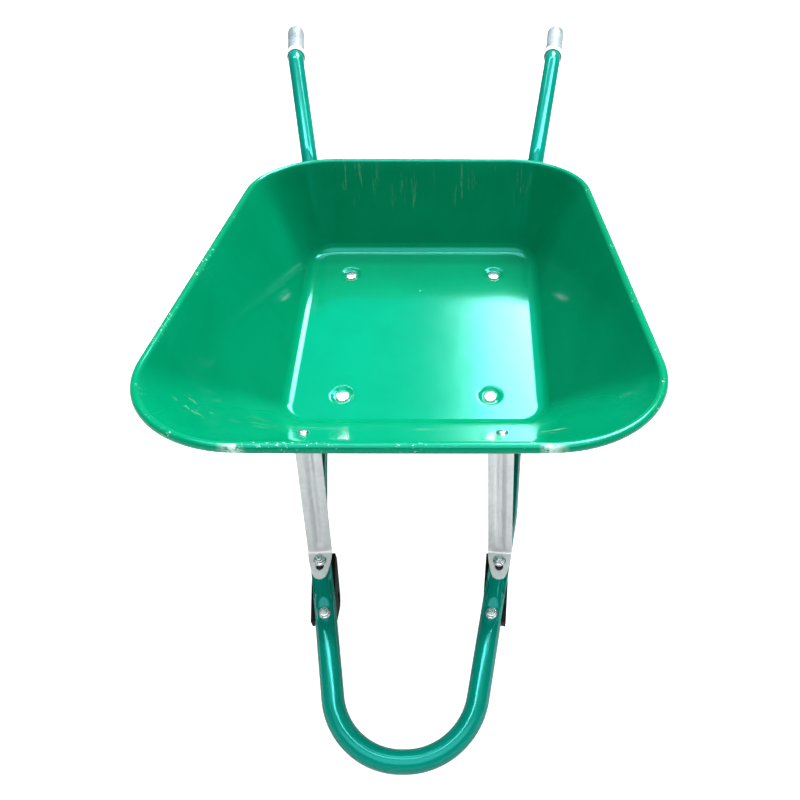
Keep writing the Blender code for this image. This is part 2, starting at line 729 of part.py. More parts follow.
def make_legs(rear_seat):
    """Legs, struts and brace behind the tray's front; the plane of each side follows its rail."""
    along = (RAIL_END - RAIL_START).normalized()
    across = Vector((along.y, -along.x, 0))
    up = Vector((0, 0, 1))
    under_rail = RAIL_Z - TUBE_RADIUS - GAP
    origin = Vector((rear_seat.x, rear_seat.y, 0))

    def at(run, z):
        return origin + along * run + up * z

    rounded = (round_end(LEG_HALF_WIDTH), round_end(LEG_HALF_WIDTH))
    leg = bent_strip("leg_right",
                     [at(-20, under_rail), at(LEG_KNEE, under_rail), at(LEG_ANKLE, GROUND_Z),
                      at(LEG_ANKLE - FOOT_LENGTH, GROUND_Z)],
                     (10.0, 14.0), (across, across), LEG_HALF_WIDTH, [(64.0, -FOOT_LENGTH - 24.0)], rounded)
    lean = (LEG_ANKLE - LEG_KNEE) / (under_rail - GROUND_Z)
    strut_bolt_run = LEG_KNEE + lean * (under_rail - STRUT_Z)
    seat = at(strut_bolt_run, STRUT_Z)
    behind = STRIP_SHEET + GROOVE_DEPTH + GAP
    front_run = (FRONT_BOLTS[1] - rear_seat.y) / along.y
    ear_run = strut_bolt_run - behind

    strut = bent_strip("leg_strut_right",
                       [at(front_run - 20, under_rail), at(front_run + 24, under_rail),
                        at(ear_run - lean * 22, STRUT_Z + 22), at(ear_run + lean * 20, STRUT_Z - 20)],
                       (14.0, 14.0), (across, across), LEG_HALF_WIDTH, [(58.0, -56.0)], rounded)
    cut_holes(strut, "strut_top_hole", [(at(front_run, under_rail), up)])
    cut_holes(strut, "strut_low_hole", [(at(ear_run, STRUT_Z), along)])

    brace_bolt = at(LEG_KNEE + lean * (under_rail - BRACE_Z), BRACE_Z)
    cut_holes(leg, "leg_top_hole", [(at(0, under_rail), up)])
    cut_holes(leg, "leg_holes", [(seat, along), (brace_bolt, Vector((0, 1, 0)))])
    mirrored_copy(leg, "leg_left")
    mirrored_copy(strut, "leg_strut_left")

    brace_half = 15.0
    lean_room = brace_half * lean + LEG_HALF_WIDTH * along.x
    face = brace_bolt.y + lean_room + GAP + STRIP_SHEET + GAP
    reach = brace_bolt.x + 18.0
    brace = bent_strip("leg_brace", [Vector((-reach, face, BRACE_Z)), Vector((reach, face, BRACE_Z))], (),
                       (up, up), brace_half, [(34.0, -34.0)], ((), ()))
    back = Vector((0, 1, 0))
    cut_holes(brace, "brace_holes", [(Vector((side * brace_bolt.x, face, BRACE_Z)), back) for side in (1, -1)])

    fasten("strut", seat, along, STRIP_SHEET * 2 + GROOVE_DEPTH + GAP)
    fasten("brace", Vector((brace_bolt.x, face, BRACE_Z)), back,
           face - brace_bolt.y + STRIP_SHEET + GROOVE_DEPTH + lean_room)


# ---------------------------------------------------------------- assembly


def resting_turn():
    """How far the tray's frame tips forward so that the nose loop and the feet's toes are level."""
    back = REAR_BOLTS[1] + LEG_ANKLE - FOOT_LENGTH - NOSE.y
    high = NOSE.z - GROUND_Z
    return math.atan2(high, back) - math.asin(TUBE_RADIUS / math.hypot(back, high))


def make_wheelbarrow():
    up = Vector((0, 0, 1))
    bracket_seats = [(rail_point(y) + rail_up(y) * TUBE_RADIUS, rail_up(y)) for y in BRACKET_BOLT_YS]
    rail_bolts = [(rail_point(y) + up * TUBE_RADIUS, up) for _, y in (FRONT_BOLTS, REAR_BOLTS)]
    front_seat = make_cross_member("cross_member_front", *FRONT_BOLTS)
    rear_seat = make_cross_member("cross_member_rear", *REAR_BOLTS)
    stay_bolt = make_stays(*bracket_seats[1])
    make_tray(*stay_bolt[:2])
    make_tube(bracket_seats + rail_bolts)
    make_brackets(bracket_seats)
    make_grips()
    make_legs(rear_seat)

    fasten("stay_top", *stay_bolt)
    for name, (half, y) in (("tray_front", FRONT_BOLTS), ("tray_rear", REAR_BOLTS)):
        fasten(name, Vector((half, y, -DISH_DEPTH)), up, TRAY_SHEET + GAP + MEMBER_SHEET, TRAY_HEAD_RADIUS)
    for name, seat in (("rail_front", front_seat), ("rail_rear", rear_seat)):
        fasten(name, seat, up, seat.z - RAIL_Z + TUBE_RADIUS + GAP + STRIP_SHEET)
    under = 2 * TUBE_RADIUS + GAP + BRACKET_WALL
    ear = GAP + STRIP_SHEET
    stacks = (-DIMPLE_DEPTH, ear + GAP + WASHER_THICKNESS)
    for name, (seat, way), stack in zip(("bracket_front", "bracket_rear"), bracket_seats, stacks):
        fasten(name, seat - way * under, -way, under + stack)
    seat, way = bracket_seats[1]
    washer = ring_mesh("washer", washer_profile, 16)
    for side, flip in (("right", lambda vector: vector), ("left", opposite)):
        add_object(f"stay_washer_{side}", washer, "zinc", standing(flip(seat + way * (ear + GAP)), flip(way)))


def stand_on_ground():
    """Tips the root forward and puts the origin under the middle of the bounding box."""
    ROOT.rotation_euler = (resting_turn(), 0, 0)
    bpy.context.view_layer.update()
    graph = bpy.context.evaluated_depsgraph_get()
    low = Vector((math.inf,) * 3)
    high = -low
    for item in PARTS.objects:
        mesh = item.evaluated_get(graph).to_mesh()
        for vertex in mesh.vertices:
            place = item.matrix_world @ vertex.co
            low = Vector(map(min, low, place))
            high = Vector(map(max, high, place))
    ROOT.location = (0, -(low.y + high.y) / 2, -low.z)


clear_scene()
PARTS = new_collection("wheelbarrow")
CUTTERS = new_collection("cutters")
MATERIALS = new_materials()
ROOT = bpy.data.objects.new("wheelbarrow_root", None)
bpy.context.scene.collection.objects.link(ROOT)
NUT = ring_mesh("nut", nut_profile, 12)
make_wheelbarrow()
stand_on_ground()
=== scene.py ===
"""The wheelbarrow's looks: fine meshes for its pressed, bent and turned pieces, their materials,
light and camera.

Sizes are millimetres in the tray's own frame, as in the CAD model: X to the right, Y from the nose
towards the handles, Z up, with the origin on the upper face of the tray's floor, midway between its two
front bolts. ROOT carries that frame to the world, where the barrow stands tipped forward on its nose
loop and toes.
"""

import json
import math

import bmesh
import bpy
from mathutils import Matrix, Quaternion, Vector
from mathutils.geometry import delaunay_2d_cdt


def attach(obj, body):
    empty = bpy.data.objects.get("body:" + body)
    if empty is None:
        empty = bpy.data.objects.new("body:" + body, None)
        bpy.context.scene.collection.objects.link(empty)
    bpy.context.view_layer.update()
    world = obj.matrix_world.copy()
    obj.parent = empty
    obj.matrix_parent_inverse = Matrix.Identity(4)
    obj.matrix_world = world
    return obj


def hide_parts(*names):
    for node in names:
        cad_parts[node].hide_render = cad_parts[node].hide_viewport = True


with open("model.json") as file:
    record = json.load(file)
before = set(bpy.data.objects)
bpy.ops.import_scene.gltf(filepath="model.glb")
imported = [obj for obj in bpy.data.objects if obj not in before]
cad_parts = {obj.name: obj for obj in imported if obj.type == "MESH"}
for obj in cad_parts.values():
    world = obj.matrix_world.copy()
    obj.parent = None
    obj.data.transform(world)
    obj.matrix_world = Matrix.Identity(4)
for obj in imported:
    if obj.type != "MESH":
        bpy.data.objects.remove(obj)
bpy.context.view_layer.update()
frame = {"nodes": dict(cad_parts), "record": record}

MM = 0.001
GAP = 0.3
MOUNT_Y = 160.0  # where the record's tray_floor mount lies in the tray's frame

# Tray.
TRAY_SHEET = 1.2
FLOOR_HALF_WIDTH = 220.0
FLOOR_FRONT_Y = -60.0
FLOOR_REAR_Y = 394.0
FLOOR_CORNER_RADIUS = 45.0
FLOOR_FILLET = 24.0
RIM_FRONT = Vector((338.6, -351.0, 298.0))
RIM_REAR = Vector((292.6, 450.0, 163.0))
RIM_FRONT_RADIUS = 153.0
RIM_REAR_RADIUS = 140.0
BEAD_RADIUS = 6.85
BEAD_SWEEP = math.radians(285)
LAP_X = 172.0  # half the length of the front rim's lapped middle
DISH_RADIUS = 21.4
DISH_FLOOR_RADIUS = 13.0
DISH_DEPTH = 4.0
FRONT_BOLTS = (125.7, 0.0)
REAR_BOLTS = (139.6, 320.4)
CENTRE_MARK = Vector((-1.0, 269.0, 0))  # a small pressed dimple between the rear bolts

# Frame tube.
TUBE_RADIUS = 15.9
TUBE_SEAT = 16.0  # from the tube's centre line to what rests on it
RAIL_Z = -33.0
NOSE = Vector((86.1, -572.6, -93.4))
NOSE_TURN = 80.07
SPREAD_CHANGE = Vector((148.8, -215.0, -42.9))
RAIL_START = Vector((155.5, -145.0, RAIL_Z))
RAIL_END = Vector((209.2, 416.5, RAIL_Z))
HANDLE_FOOT = Vector((220.5, 490.0, 124.6))
GRIP_BEND = Vector((262.8, 716.0, 230.0))
HANDLE_END = Vector((278.4, 835.0, 233.0))
DIMPLE_DEPTH = 4.0

# Fasteners.
BOLT_RADIUS = 4.0
HOLE_RADIUS = 4.5
HEAD_RADIUS = 8.5
HEAD_HEIGHT = 3.4
TRAY_HEAD_RADIUS = 12.0
NUT_FLATS = 13.0
NUT_HEIGHT = 7.5
NUT_FLANGE_RADIUS = 8.8
NUT_FLANGE = 1.5
THREAD_PITCH = 1.25
BOLT_SHOWING = 2.0
WASHER_RADIUS = 9.5
WASHER_THICKNESS = 1.6

# Pressed strips.
STRIP_SHEET = 2.5
GROOVE_DEPTH = 5.0
GROOVE_HALF = 8.0
EAR = 55.0
STAY_TOP_X = 130.0
STAY_HALF_WIDTH = 17.7
STAY_LEAN = 0.24
STAY_TIP = 29.0  # from the ear's bolt down to the tongue's end
STAY_BEND = 14.5  # from the ear's bolt up to the bend
STAY_TOP_RUN = 36.0  # the upper ear, from its bend to its end
STAY_TOP_BOLT = 19.0  # its bolt, from the same bend
SLOT_RADIUS = 5.9
SLOT_RUN = 9.4
MEMBER_SHEET = 2.0
STRIP_END = 20.0  # from a leg's or strut's bolt to its end
GROUND_Z = -305.0
LEG_HALF_WIDTH = 17.0
FOOT_LENGTH = 64.0
LEG_KNEE = 28.0
LEG_ANKLE = 36.0
BRACE_Z = -128.0
STRUT_Z = -214.0

# Axle brackets and grips.
BRACKET_BOLT_YS = (-375.5, -298.0)
BRACKET_YAW = 0.08
BRACKET_WALL = 3.0
GRIP_LENGTH = 104.0
GRIP_RADIUS = 17.8
COLLAR_LENGTH = 15.0
COLLAR_RADIUS = 19.2

UP = Vector((0, 0, 1))
SIDES = ("right", "left")


def find_root():
    """The matrix that carries the tray's frame to the world, read off the record's floor mount."""
    mount = next(item for item in frame["record"]["mounts"] if item["name"] == "tray_floor")
    tilt = math.atan2(-mount["axis"][1], mount["axis"][2])
    turn = Matrix.Rotation(tilt, 4, "X")
    return Matrix.Translation(Vector(mount["pos_m"]) - turn @ Vector((0, MOUNT_Y * MM, 0))) @ turn, tilt


ROOT, TILT = find_root()


# ---------------------------------------------------------------- geometry


def opposite(vector):
    return Vector((-vector.x, vector.y, vector.z))


def on_side(side):
    return opposite if side == "left" else lambda vector: vector.copy()


def standing(point, direction):
    """The matrix in the tray's frame that puts a turned piece at a point, with its +Z along a direction."""
    return Matrix.Translation(point) @ direction.to_track_quat("Z", "Y").to_matrix().to_4x4()


def rounded_corner(before, corner, after, radius, steps):
    """Points of the arc that rounds a corner, from one leg to the other."""
    back = (before - corner).normalized()
    ahead = (after - corner).normalized()
    half = back.angle(ahead) / 2
    centre = corner + (back + ahead).normalized() * (radius / math.sin(half))
    start = corner + back * (radius / math.tan(half)) - centre
    axis = ahead.cross(back)
    turn = math.pi - 2 * half
    return [centre + Quaternion(axis, turn * step / steps) @ start for step in range(steps + 1)]


def bent_path(corners, radii, degrees_per_step):
    """An open centre line through corners, each inner one rounded to its radius."""
    points = [corners[0]]
    for before, corner, after, radius in zip(corners, corners[1:], corners[2:], radii):
        turn = (corner - before).angle(after - corner)
        steps = max(3, round(math.degrees(turn) / degrees_per_step))
        points += rounded_corner(before, corner, after, radius, steps)
    points.append(corners[-1])
    return points


def spaced(points, longest):
    """The same line with its long runs divided, as (length so far, point, way)."""
    filled = [points[0]]
    for first, second in zip(points, points[1:]):
        parts = max(1, math.ceil((second - first).length / longest))
        filled += [first.lerp(second, part / parts) for part in range(1, parts + 1)]
    places = []
    length = 0.0
    for index, point in enumerate(filled):
        before = filled[max(index - 1, 0)]
        after = filled[min(index + 1, len(filled) - 1)]
        length += (point - before).length
        places.append((length, point, (after - before).normalized()))
    return places


def grid_faces(rows, columns, wrap_columns=False, wrap_rows=False):
    """Quads over rows of points, listed row by row."""
    faces = []
    for row in range(rows if wrap_rows else rows - 1):
        for column in range(columns if wrap_columns else columns - 1):
            right = (column + 1) % columns
            below = (row + 1) % rows
            faces.append((row * columns + column, below * columns + column,
                          below * columns + right, row * columns + right))
    return faces


def smooth(mesh, degrees=35):
    mesh.shade_smooth()
    mesh.set_sharp_from_angle(angle=math.radians(degrees))


def ease(value):
    """0 to 1 with level ends."""
    value = min(max(value, 0.0), 1.0)
    return value * value * (3 - 2 * value)


def add_piece(name, points, faces, material, replaced, matrix=None):
    """A finished piece in world coordinates that stands for CAD nodes."""
    carry = ROOT @ Matrix.Scale(MM, 4) @ (matrix or Matrix())
    mesh = bpy.data.meshes.new(name)
    mesh.from_pydata([carry @ point for point in points], [], faces)
    mesh.validate()
    smooth(mesh)
    mesh.materials.append(material)
    item = bpy.data.objects.new(name, mesh)
    bpy.context.scene.collection.objects.link(item)
    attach(item, "root")
    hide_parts(*replaced)
    return item


def add_sheet(item, thickness):
    modifier = item.modifiers.new("sheet", "SOLIDIFY")
    modifier.thickness = thickness * MM
    modifier.offset = -1
    modifier.use_even_offset = True


def add_soft_edges(item, width):
    modifier = item.modifiers.new("soft_edges", "BEVEL")
    modifier.width = width * MM
    modifier.segments = 2
    modifier.limit_method = "ANGLE"
    modifier.angle_limit = math.radians(40)
    modifier.harden_normals = True


def turned_mesh(profile, steps, closed=False):
    """A turned solid's points and faces; its profile is (radius, z) pairs, or gives them by angle."""
    points = []
    for step in range(steps):
        angle = 2 * math.pi * step / steps
        pairs = profile(angle) if callable(profile) else profile
        points += [Vector((radius * math.cos(angle), radius * math.sin(angle), z)) for radius, z in pairs]
    columns = len(points) // steps
    faces = grid_faces(steps, columns, wrap_columns=closed, wrap_rows=True)
    faces = [tuple(reversed(face)) for face in faces]
    return points, faces


# ---------------------------------------------------------------- materials


class Material:
    """A node material with a Principled shader, and short calls for the nodes it is built from."""

    def __init__(self, name, roughness, metallic=0.0):
        self.data = bpy.data.materials.new(name)
        self.data.use_nodes = True
        self.tree = self.data.node_tree
        self.shader = self.tree.nodes["Principled BSDF"]
        self.set("Roughness", roughness)
        self.set("Metallic", metallic)
        self.place = self.node("ShaderNodeTexCoord").outputs["Object"]

    def node(self, kind, **values):
        made = self.tree.nodes.new(kind)
        for key, value in values.items():
            setattr(made, key, value)
        return made

    def link(self, source, target):
        self.tree.links.new(source, target)

    def set(self, socket, value):
        if hasattr(value, "is_linked"):
            self.link(value, self.shader.inputs[socket])
        else:
            self.shader.inputs[socket].default_value = value

    def stretched(self, scale, turn=(0, 0, 0)):
        mapping = self.node("ShaderNodeMapping")
        mapping.inputs["Scale"].default_value = scale
        mapping.inputs["Rotation"].default_value = turn
        self.link(self.place, mapping.inputs["Vector"])
        return mapping.outputs["Vector"]

    def noise(self, scale, detail=3.0, roughness=0.55, place=None):
        made = self.node("ShaderNodeTexNoise")
        made.inputs["Scale"].default_value = scale
        made.inputs["Detail"].default_value = detail
        made.inputs["Roughness"].default_value = roughness
        self.link(place or self.place, made.inputs["Vector"])
        return made.outputs["Fac"]

    def cells(self, scale):
        made = self.node("ShaderNodeTexVoronoi")
        made.inputs["Scale"].default_value = scale
        self.link(self.place, made.inputs["Vector"])
        return made.outputs["Color"]

    def span(self, value, low, high, to_low=0.0, to_high=1.0):
        """The value's range low to high carried to another range, with both ends held."""
        made = self.node("ShaderNodeMapRange", interpolation_type="SMOOTHSTEP")
        self.link(value, made.inputs["Value"])
        for key, number in (("From Min", low), ("From Max", high), ("To Min", to_low), ("To Max", to_high)):
            made.inputs[key].default_value = number
        return made.outputs["Result"]

    def math(self, operation, first, second):
        made = self.node("ShaderNodeMath", operation=operation)
        for socket, value in zip(made.inputs, (first, second)):
            if hasattr(value, "is_linked"):
                self.link(value, socket)
            else:
                socket.default_value = value
        return made.outputs["Value"]

    def mix(self, factor, first, second):
        """Two colours mixed by a factor; either may be a socket."""
        made = self.node("ShaderNodeMix", data_type="RGBA")
        self.link(factor, made.inputs["Factor"])
        for index, value in ((6, first), (7, second)):
            if hasattr(value, "is_linked"):
                self.link(value, made.inputs[index])
            else:
                made.inputs[index].default_value = (*value, 1)
        return made.outputs[2]

    def bump(self, height, distance):
        made = self.node("ShaderNodeBump")
        made.inputs["Strength"].default_value = 1.0
        made.inputs["Distance"].default_value = distance * MM
        self.link(height, made.inputs["Height"])
        previous = self.shader.inputs["Normal"]
        if previous.is_linked:
            self.link(previous.links[0].from_socket, made.inputs["Normal"])
        self.link(made.outputs["Normal"], previous)

    def attribute(self, name):
        return self.node("ShaderNodeAttribute", attribute_name=name).outputs["Fac"]

    def near(self, point, radius):
        """1 at a point of the tray's frame, falling to 0 at a distance from it."""
        distance = self.node("ShaderNodeVectorMath", operation="DISTANCE")
        self.link(self.place, distance.inputs[0])
        distance.inputs[1].default_value = ROOT @ (Vector(point) * MM)
        return self.span(distance.outputs["Value"], 0.3 * radius * MM, radius * MM, 1.0, 0.0)


PAINT_LIGHT = (0.0, 0.172, 0.078)
PAINT_DEEP = (0.0, 0.158, 0.071)
TUBE_LIGHT = (0.0005, 0.170, 0.124)
TUBE_DEEP = (0.0005, 0.150, 0.110)
# Pale colour of bare metal where the paint is worn, also used as painted glints at the spots below.
SCUFF_AND_GLINT = (0.62, 0.72, 0.69)
# Pale marks on the tray's walls and corners: partly scuffs, partly painted glints.
SCUFF_AND_GLINT_SPOTS = (
    ((187, -136, 78), 34, 0.4), ((193, -235, 179), 44, 0.4), ((-161, -180, 122), 100, 0.3),
    ((-76, -180, 122), 90, 0.3), ((120, -190, 133), 80, 0.25), ((20, -185, 128), 80, 0.25),
    ((-270, -230, 200), 56, 0.16), ((-225, -200, 150), 40, 0.2),
)
# Pale upright streaks down the rear wall from its rim.
STREAK_SPOTS = (((-130, 440, 130), 70), ((-20, 432, 110), 60), ((70, 440, 130), 60), ((170, 440, 130), 60))


def paint(name, light, deep, rim=False):
    """Gloss paint with wear; a tray's, with rim, is scuffed on its rim and paler at the spots above: scuffs
    that are partly painted glints, and pale upright streaks.
    """
    made = Material(name, 0.12)
    cloud = made.noise(7, 3)
    colour = made.mix(made.span(cloud, 0.35, 0.65), deep, light)
    scratch = made.noise(60, 5, 0.7, made.stretched((0.5, 4, 4), (0.2, 0, 0.5)))
    worn = made.span(scratch, 0.68, 0.76)
    if rim:
        rub_and_glint_noise = made.noise(60, 5, 0.72, made.stretched((0.25, 1, 1)))
        edge = made.attribute("rim")
        spots = made.span(made.noise(230, 5, 0.72), 0.60, 0.66)
        along = made.span(made.noise(13, 3), 0.50, 0.62)
        wear_and_glints = made.math("MULTIPLY", edge, made.math("MULTIPLY", spots, along))
        bare = made.math("MULTIPLY", made.attribute("bare"), made.span(made.noise(90, 5, 0.7), 0.36, 0.52))
        wear_and_glints = made.math("MAXIMUM", wear_and_glints, bare)
        # Pale scuff colour at these spots, partly real scuffs and partly painted glints.
        for point, radius, strength in SCUFF_AND_GLINT_SPOTS:
            marks = made.span(rub_and_glint_noise, 0.56, 0.64, 0.0, strength)
            rub_and_glint = made.math("MULTIPLY", made.near(point, radius), marks)
            wear_and_glints = made.math("MAXIMUM", wear_and_glints, rub_and_glint)
        # Pale upright streaks near the rear rim, at the spots in STREAK_SPOTS.
        upright_streaks = made.span(made.noise(34, 5, 0.75, made.stretched((4, 4, 0.22))), 0.55, 0.68)
        for point, radius in STREAK_SPOTS:
            streak = made.math("MULTIPLY", made.near(point, radius), made.math("MULTIPLY", upright_streaks, 0.13))
            wear_and_glints = made.math("MAXIMUM", wear_and_glints, streak)
    else:
        fleck = made.span(made.noise(420, 4, 0.7), 0.66, 0.72)
        wear_and_glints = made.math("MULTIPLY", fleck, made.span(made.noise(14, 2), 0.50, 0.62))
        wear_and_glints = made.math("MULTIPLY", wear_and_glints, 0.7)
    # Worn paint shows pale; at the scuff spots this pale colour is also painted glints.
    colour = made.mix(made.math("MULTIPLY", wear_and_glints, 0.85), colour, SCUFF_AND_GLINT)
    made.set("Base Color", colour)
    dull = made.math("MAXIMUM", wear_and_glints, made.math("MULTIPLY", worn, 0.25))
    made.set("Roughness", made.span(dull, 0, 1, 0.13, 0.55))
    made.set("Specular Tint", (0.15, 0.95, 1.0, 1))
    made.bump(made.noise(520, 2), 0.012)
    made.bump(made.noise(9, 2), 0.45 if rim else 0.3)
    made.bump(wear_and_glints, -0.05)
    return made.data


def galvanised():
    made = Material("galvanised_steel", 0.42, 0.6)
    spangle = made.cells(170)
    grey = made.span(spangle, 0, 1)
    cloud = made.noise(20, 4)
    colour = made.mix(grey, (0.58, 0.595, 0.61), (0.64, 0.655, 0.665))
    made.set("Base Color", made.mix(made.span(cloud, 0.35, 0.75), colour, (0.68, 0.69, 0.70)))
    streak = made.noise(160, 4, 0.6, made.stretched((1, 0.15, 0.15)))
    made.set("Roughness", made.span(streak, 0.3, 0.7, 0.44, 0.56))
    made.bump(streak, 0.05)
    return made.data


def zinc():
    made = Material("zinc_plate", 0.25, 1.0)
    cloud = made.noise(220, 4)
    made.set("Base Color", made.mix(cloud, (0.50, 0.53, 0.56), (0.74, 0.77, 0.79)))
    made.set("Roughness", made.span(made.noise(500, 4), 0.3, 0.7, 0.2, 0.36))
    made.bump(made.noise(900, 3), 0.006)
    return made.data


def satin_black():
    made = Material("satin_black", 0.38)
    made.set("Base Color", made.mix(made.noise(60, 4), (0.002, 0.0024, 0.0024), (0.006, 0.007, 0.007)))
    made.set("Roughness", made.span(made.noise(300, 4), 0.3, 0.7, 0.42, 0.55))
    made.set("Specular IOR Level", 0.1)
    made.bump(made.noise(800, 3), 0.03)
    return made.data


def grip_plastic():
    made = Material("grip_plastic", 0.34)
    mottle = made.span(made.noise(130, 5, 0.65), 0.36, 0.62)
    broad = made.span(made.noise(28, 3), 0.35, 0.65)
    colour = made.mix(mottle, (0.09, 0.11, 0.12), (0.22, 0.26, 0.28))
    made.set("Base Color", made.mix(made.math("MULTIPLY", broad, 0.5), colour, (0.30, 0.345, 0.36)))
    made.set("Roughness", made.span(mottle, 0, 1, 0.30, 0.42))
    made.bump(made.noise(700, 3), 0.05)
    return made.data


def collar_plastic():
    made = Material("collar_plastic", 0.35)
    made.set("Base Color", made.mix(made.noise(90, 3), (0.60, 0.63, 0.63), (0.72, 0.745, 0.745)))
    made.bump(made.noise(600, 3), 0.02)
    return made.data


def slot_shadow():
    """Painted shadow: the black inside a stay's slot."""
    made = Material("slot_shadow", 0.6)
    made.set("Base Color", made.mix(made.noise(80, 3), (0.002, 0.003, 0.003), (0.006, 0.008, 0.007)))
    return made.data


TRAY_PAINT = paint("tray_paint", PAINT_LIGHT, PAINT_DEEP, rim=True)
TUBE_PAINT = paint("tube_paint", TUBE_LIGHT, TUBE_DEEP)
GALVANISED = galvanised()
ZINC = zinc()
BLACK = satin_black()
GRIP = grip_plastic()
SLOT_SHADOW_PAINT = slot_shadow()
COLLAR = collar_plastic()


# ---------------------------------------------------------------- tray

CORNER_STEPS = 24
SIDE_STEPS = 26
FILLET_STEPS = 12
WALL_ROWS = 8
BEAD_STEPS = 20
DISH_SIDES = 48


def outline_through(front, rear, front_radius, rear_radius):
    """A tapered, round-cornered outline, anticlockwise from above; the points match between outlines."""
    corners = [opposite(front), front, rear, opposite(rear)]
    radii = (front_radius, front_radius, rear_radius, rear_radius)
    arcs = [rounded_corner(corners[index - 1], corner, corners[(index + 1) % 4], radii[index], CORNER_STEPS)
            for index, corner in enumerate(corners)]
    outline = []
    for index, arc in enumerate(arcs):
        following = arcs[(index + 1) % 4][0]
        outline += arc
        outline += [arc[-1].lerp(following, step / SIDE_STEPS) for step in range(1, SIDE_STEPS)]
    return outline


def outward_ways(outline):
    """The level way out of an anticlockwise outline at each of its points."""
    ways = []
    for before, point, after in zip(outline[-1:] + outline, outline, outline[1:] + outline[:1]):
        along = (point - before).normalized() + (after - point).normalized()
        ways.append(Vector((along.y, -along.x, 0)).normalized())
    return ways


def tray_section(floor_point, floor_out, bead_centre, bead_out):
    """Points from just inside the floor's edge up the fillet and wall, then round the bead."""
    span = bead_centre - floor_point
    front = ease((-bead_centre.y - 335) / 12)
    radius = BEAD_RADIUS - 0.35 * (1 - front * ease((LAP_X + 1 - abs(bead_centre.x)) / 2))
    rise = math.atan2(span.z, span.dot(bead_out)) + math.asin(radius / span.length)
    bead = []
    for step in range(BEAD_STEPS + 1):
        angle = rise + math.pi / 2 - BEAD_SWEEP * step / BEAD_STEPS
        bead.append(bead_centre + (bead_out * math.cos(angle) + UP * math.sin(angle)) * radius)
    fillet = rounded_corner(floor_point - floor_out, floor_point, bead[0], FLOOR_FILLET, FILLET_STEPS)
    wall = [fillet[-1].lerp(bead[0], row / WALL_ROWS) for row in range(1, WALL_ROWS)]
    inner = fillet[0] - floor_out * 2.0
    return [inner] + fillet + wall + bead


def dish_rings(place, radius, floor_radius, depth, hole):
    """Rings of a round pressing, from the floor's level down to its hole or its middle."""
    blend = 8
    lip = 0.06 * radius
    profile = [(radius + 3 * lip, 0.0), (radius + 2 * lip, 0.0)]
    for step in range(1, blend + 1):
        share = step / blend
        profile.append((radius + lip + (floor_radius - radius - 2 * lip) * share, -depth * ease(share)))
    profile += [(0.8 * floor_radius, -depth), (hole, -depth)]
    rings = []
    for ring_radius, z in profile:
        rings.append([place + Vector((ring_radius * math.cos(turn), ring_radius * math.sin(turn), z))
                      for turn in (2 * math.pi * side / DISH_SIDES for side in range(DISH_SIDES))])
    return rings


def bolt_places():
    return [Vector((sign * half, y, 0)) for half, y in (FRONT_BOLTS, REAR_BOLTS) for sign in (1, -1)]


def fill_floor(builder, carry, outline, dishes):
    """The flat floor between its outline and the round pressings, and the pressings themselves."""
    loops = [[builder.verts.new(carry @ point) for point in ring] for dish in dishes for ring in dish]
    depth = len(dishes[0])
    for first in range(0, len(loops), depth):
        for outer, inner in zip(loops[first:first + depth], loops[first + 1:first + depth]):
            for index in range(DISH_SIDES):
                after = (index + 1) % DISH_SIDES
                builder.faces.new((outer[index], outer[after], inner[after], inner[index]))
    borders = [outline] + loops[::depth]
    rims = [dish[0] for dish in dishes]
    back = carry.inverted()
    flat = [vertex for border in borders for vertex in border]
    places = [(back @ vertex.co).to_2d() for vertex in flat]
    edges = []
    start = 0
    for border in borders:
        count = len(border)
        edges += [(start + index, start + (index + 1) % count) for index in range(count)]
        start += count
    _, _, triangles, origins, _, _ = delaunay_2d_cdt(places, edges, [], 1, 1e-4)
    middles = [(sum(rim, Vector()) / len(rim), (rim[0] - rim[DISH_SIDES // 2]).length / 2) for rim in rims]
    for triangle in triangles:
        corners = [flat[origins[index][0]] for index in triangle]
        centre = sum((back @ vertex.co for vertex in corners), Vector()) / 3
        if all((centre - middle).length > radius for middle, radius in middles):
            builder.faces.new(corners)


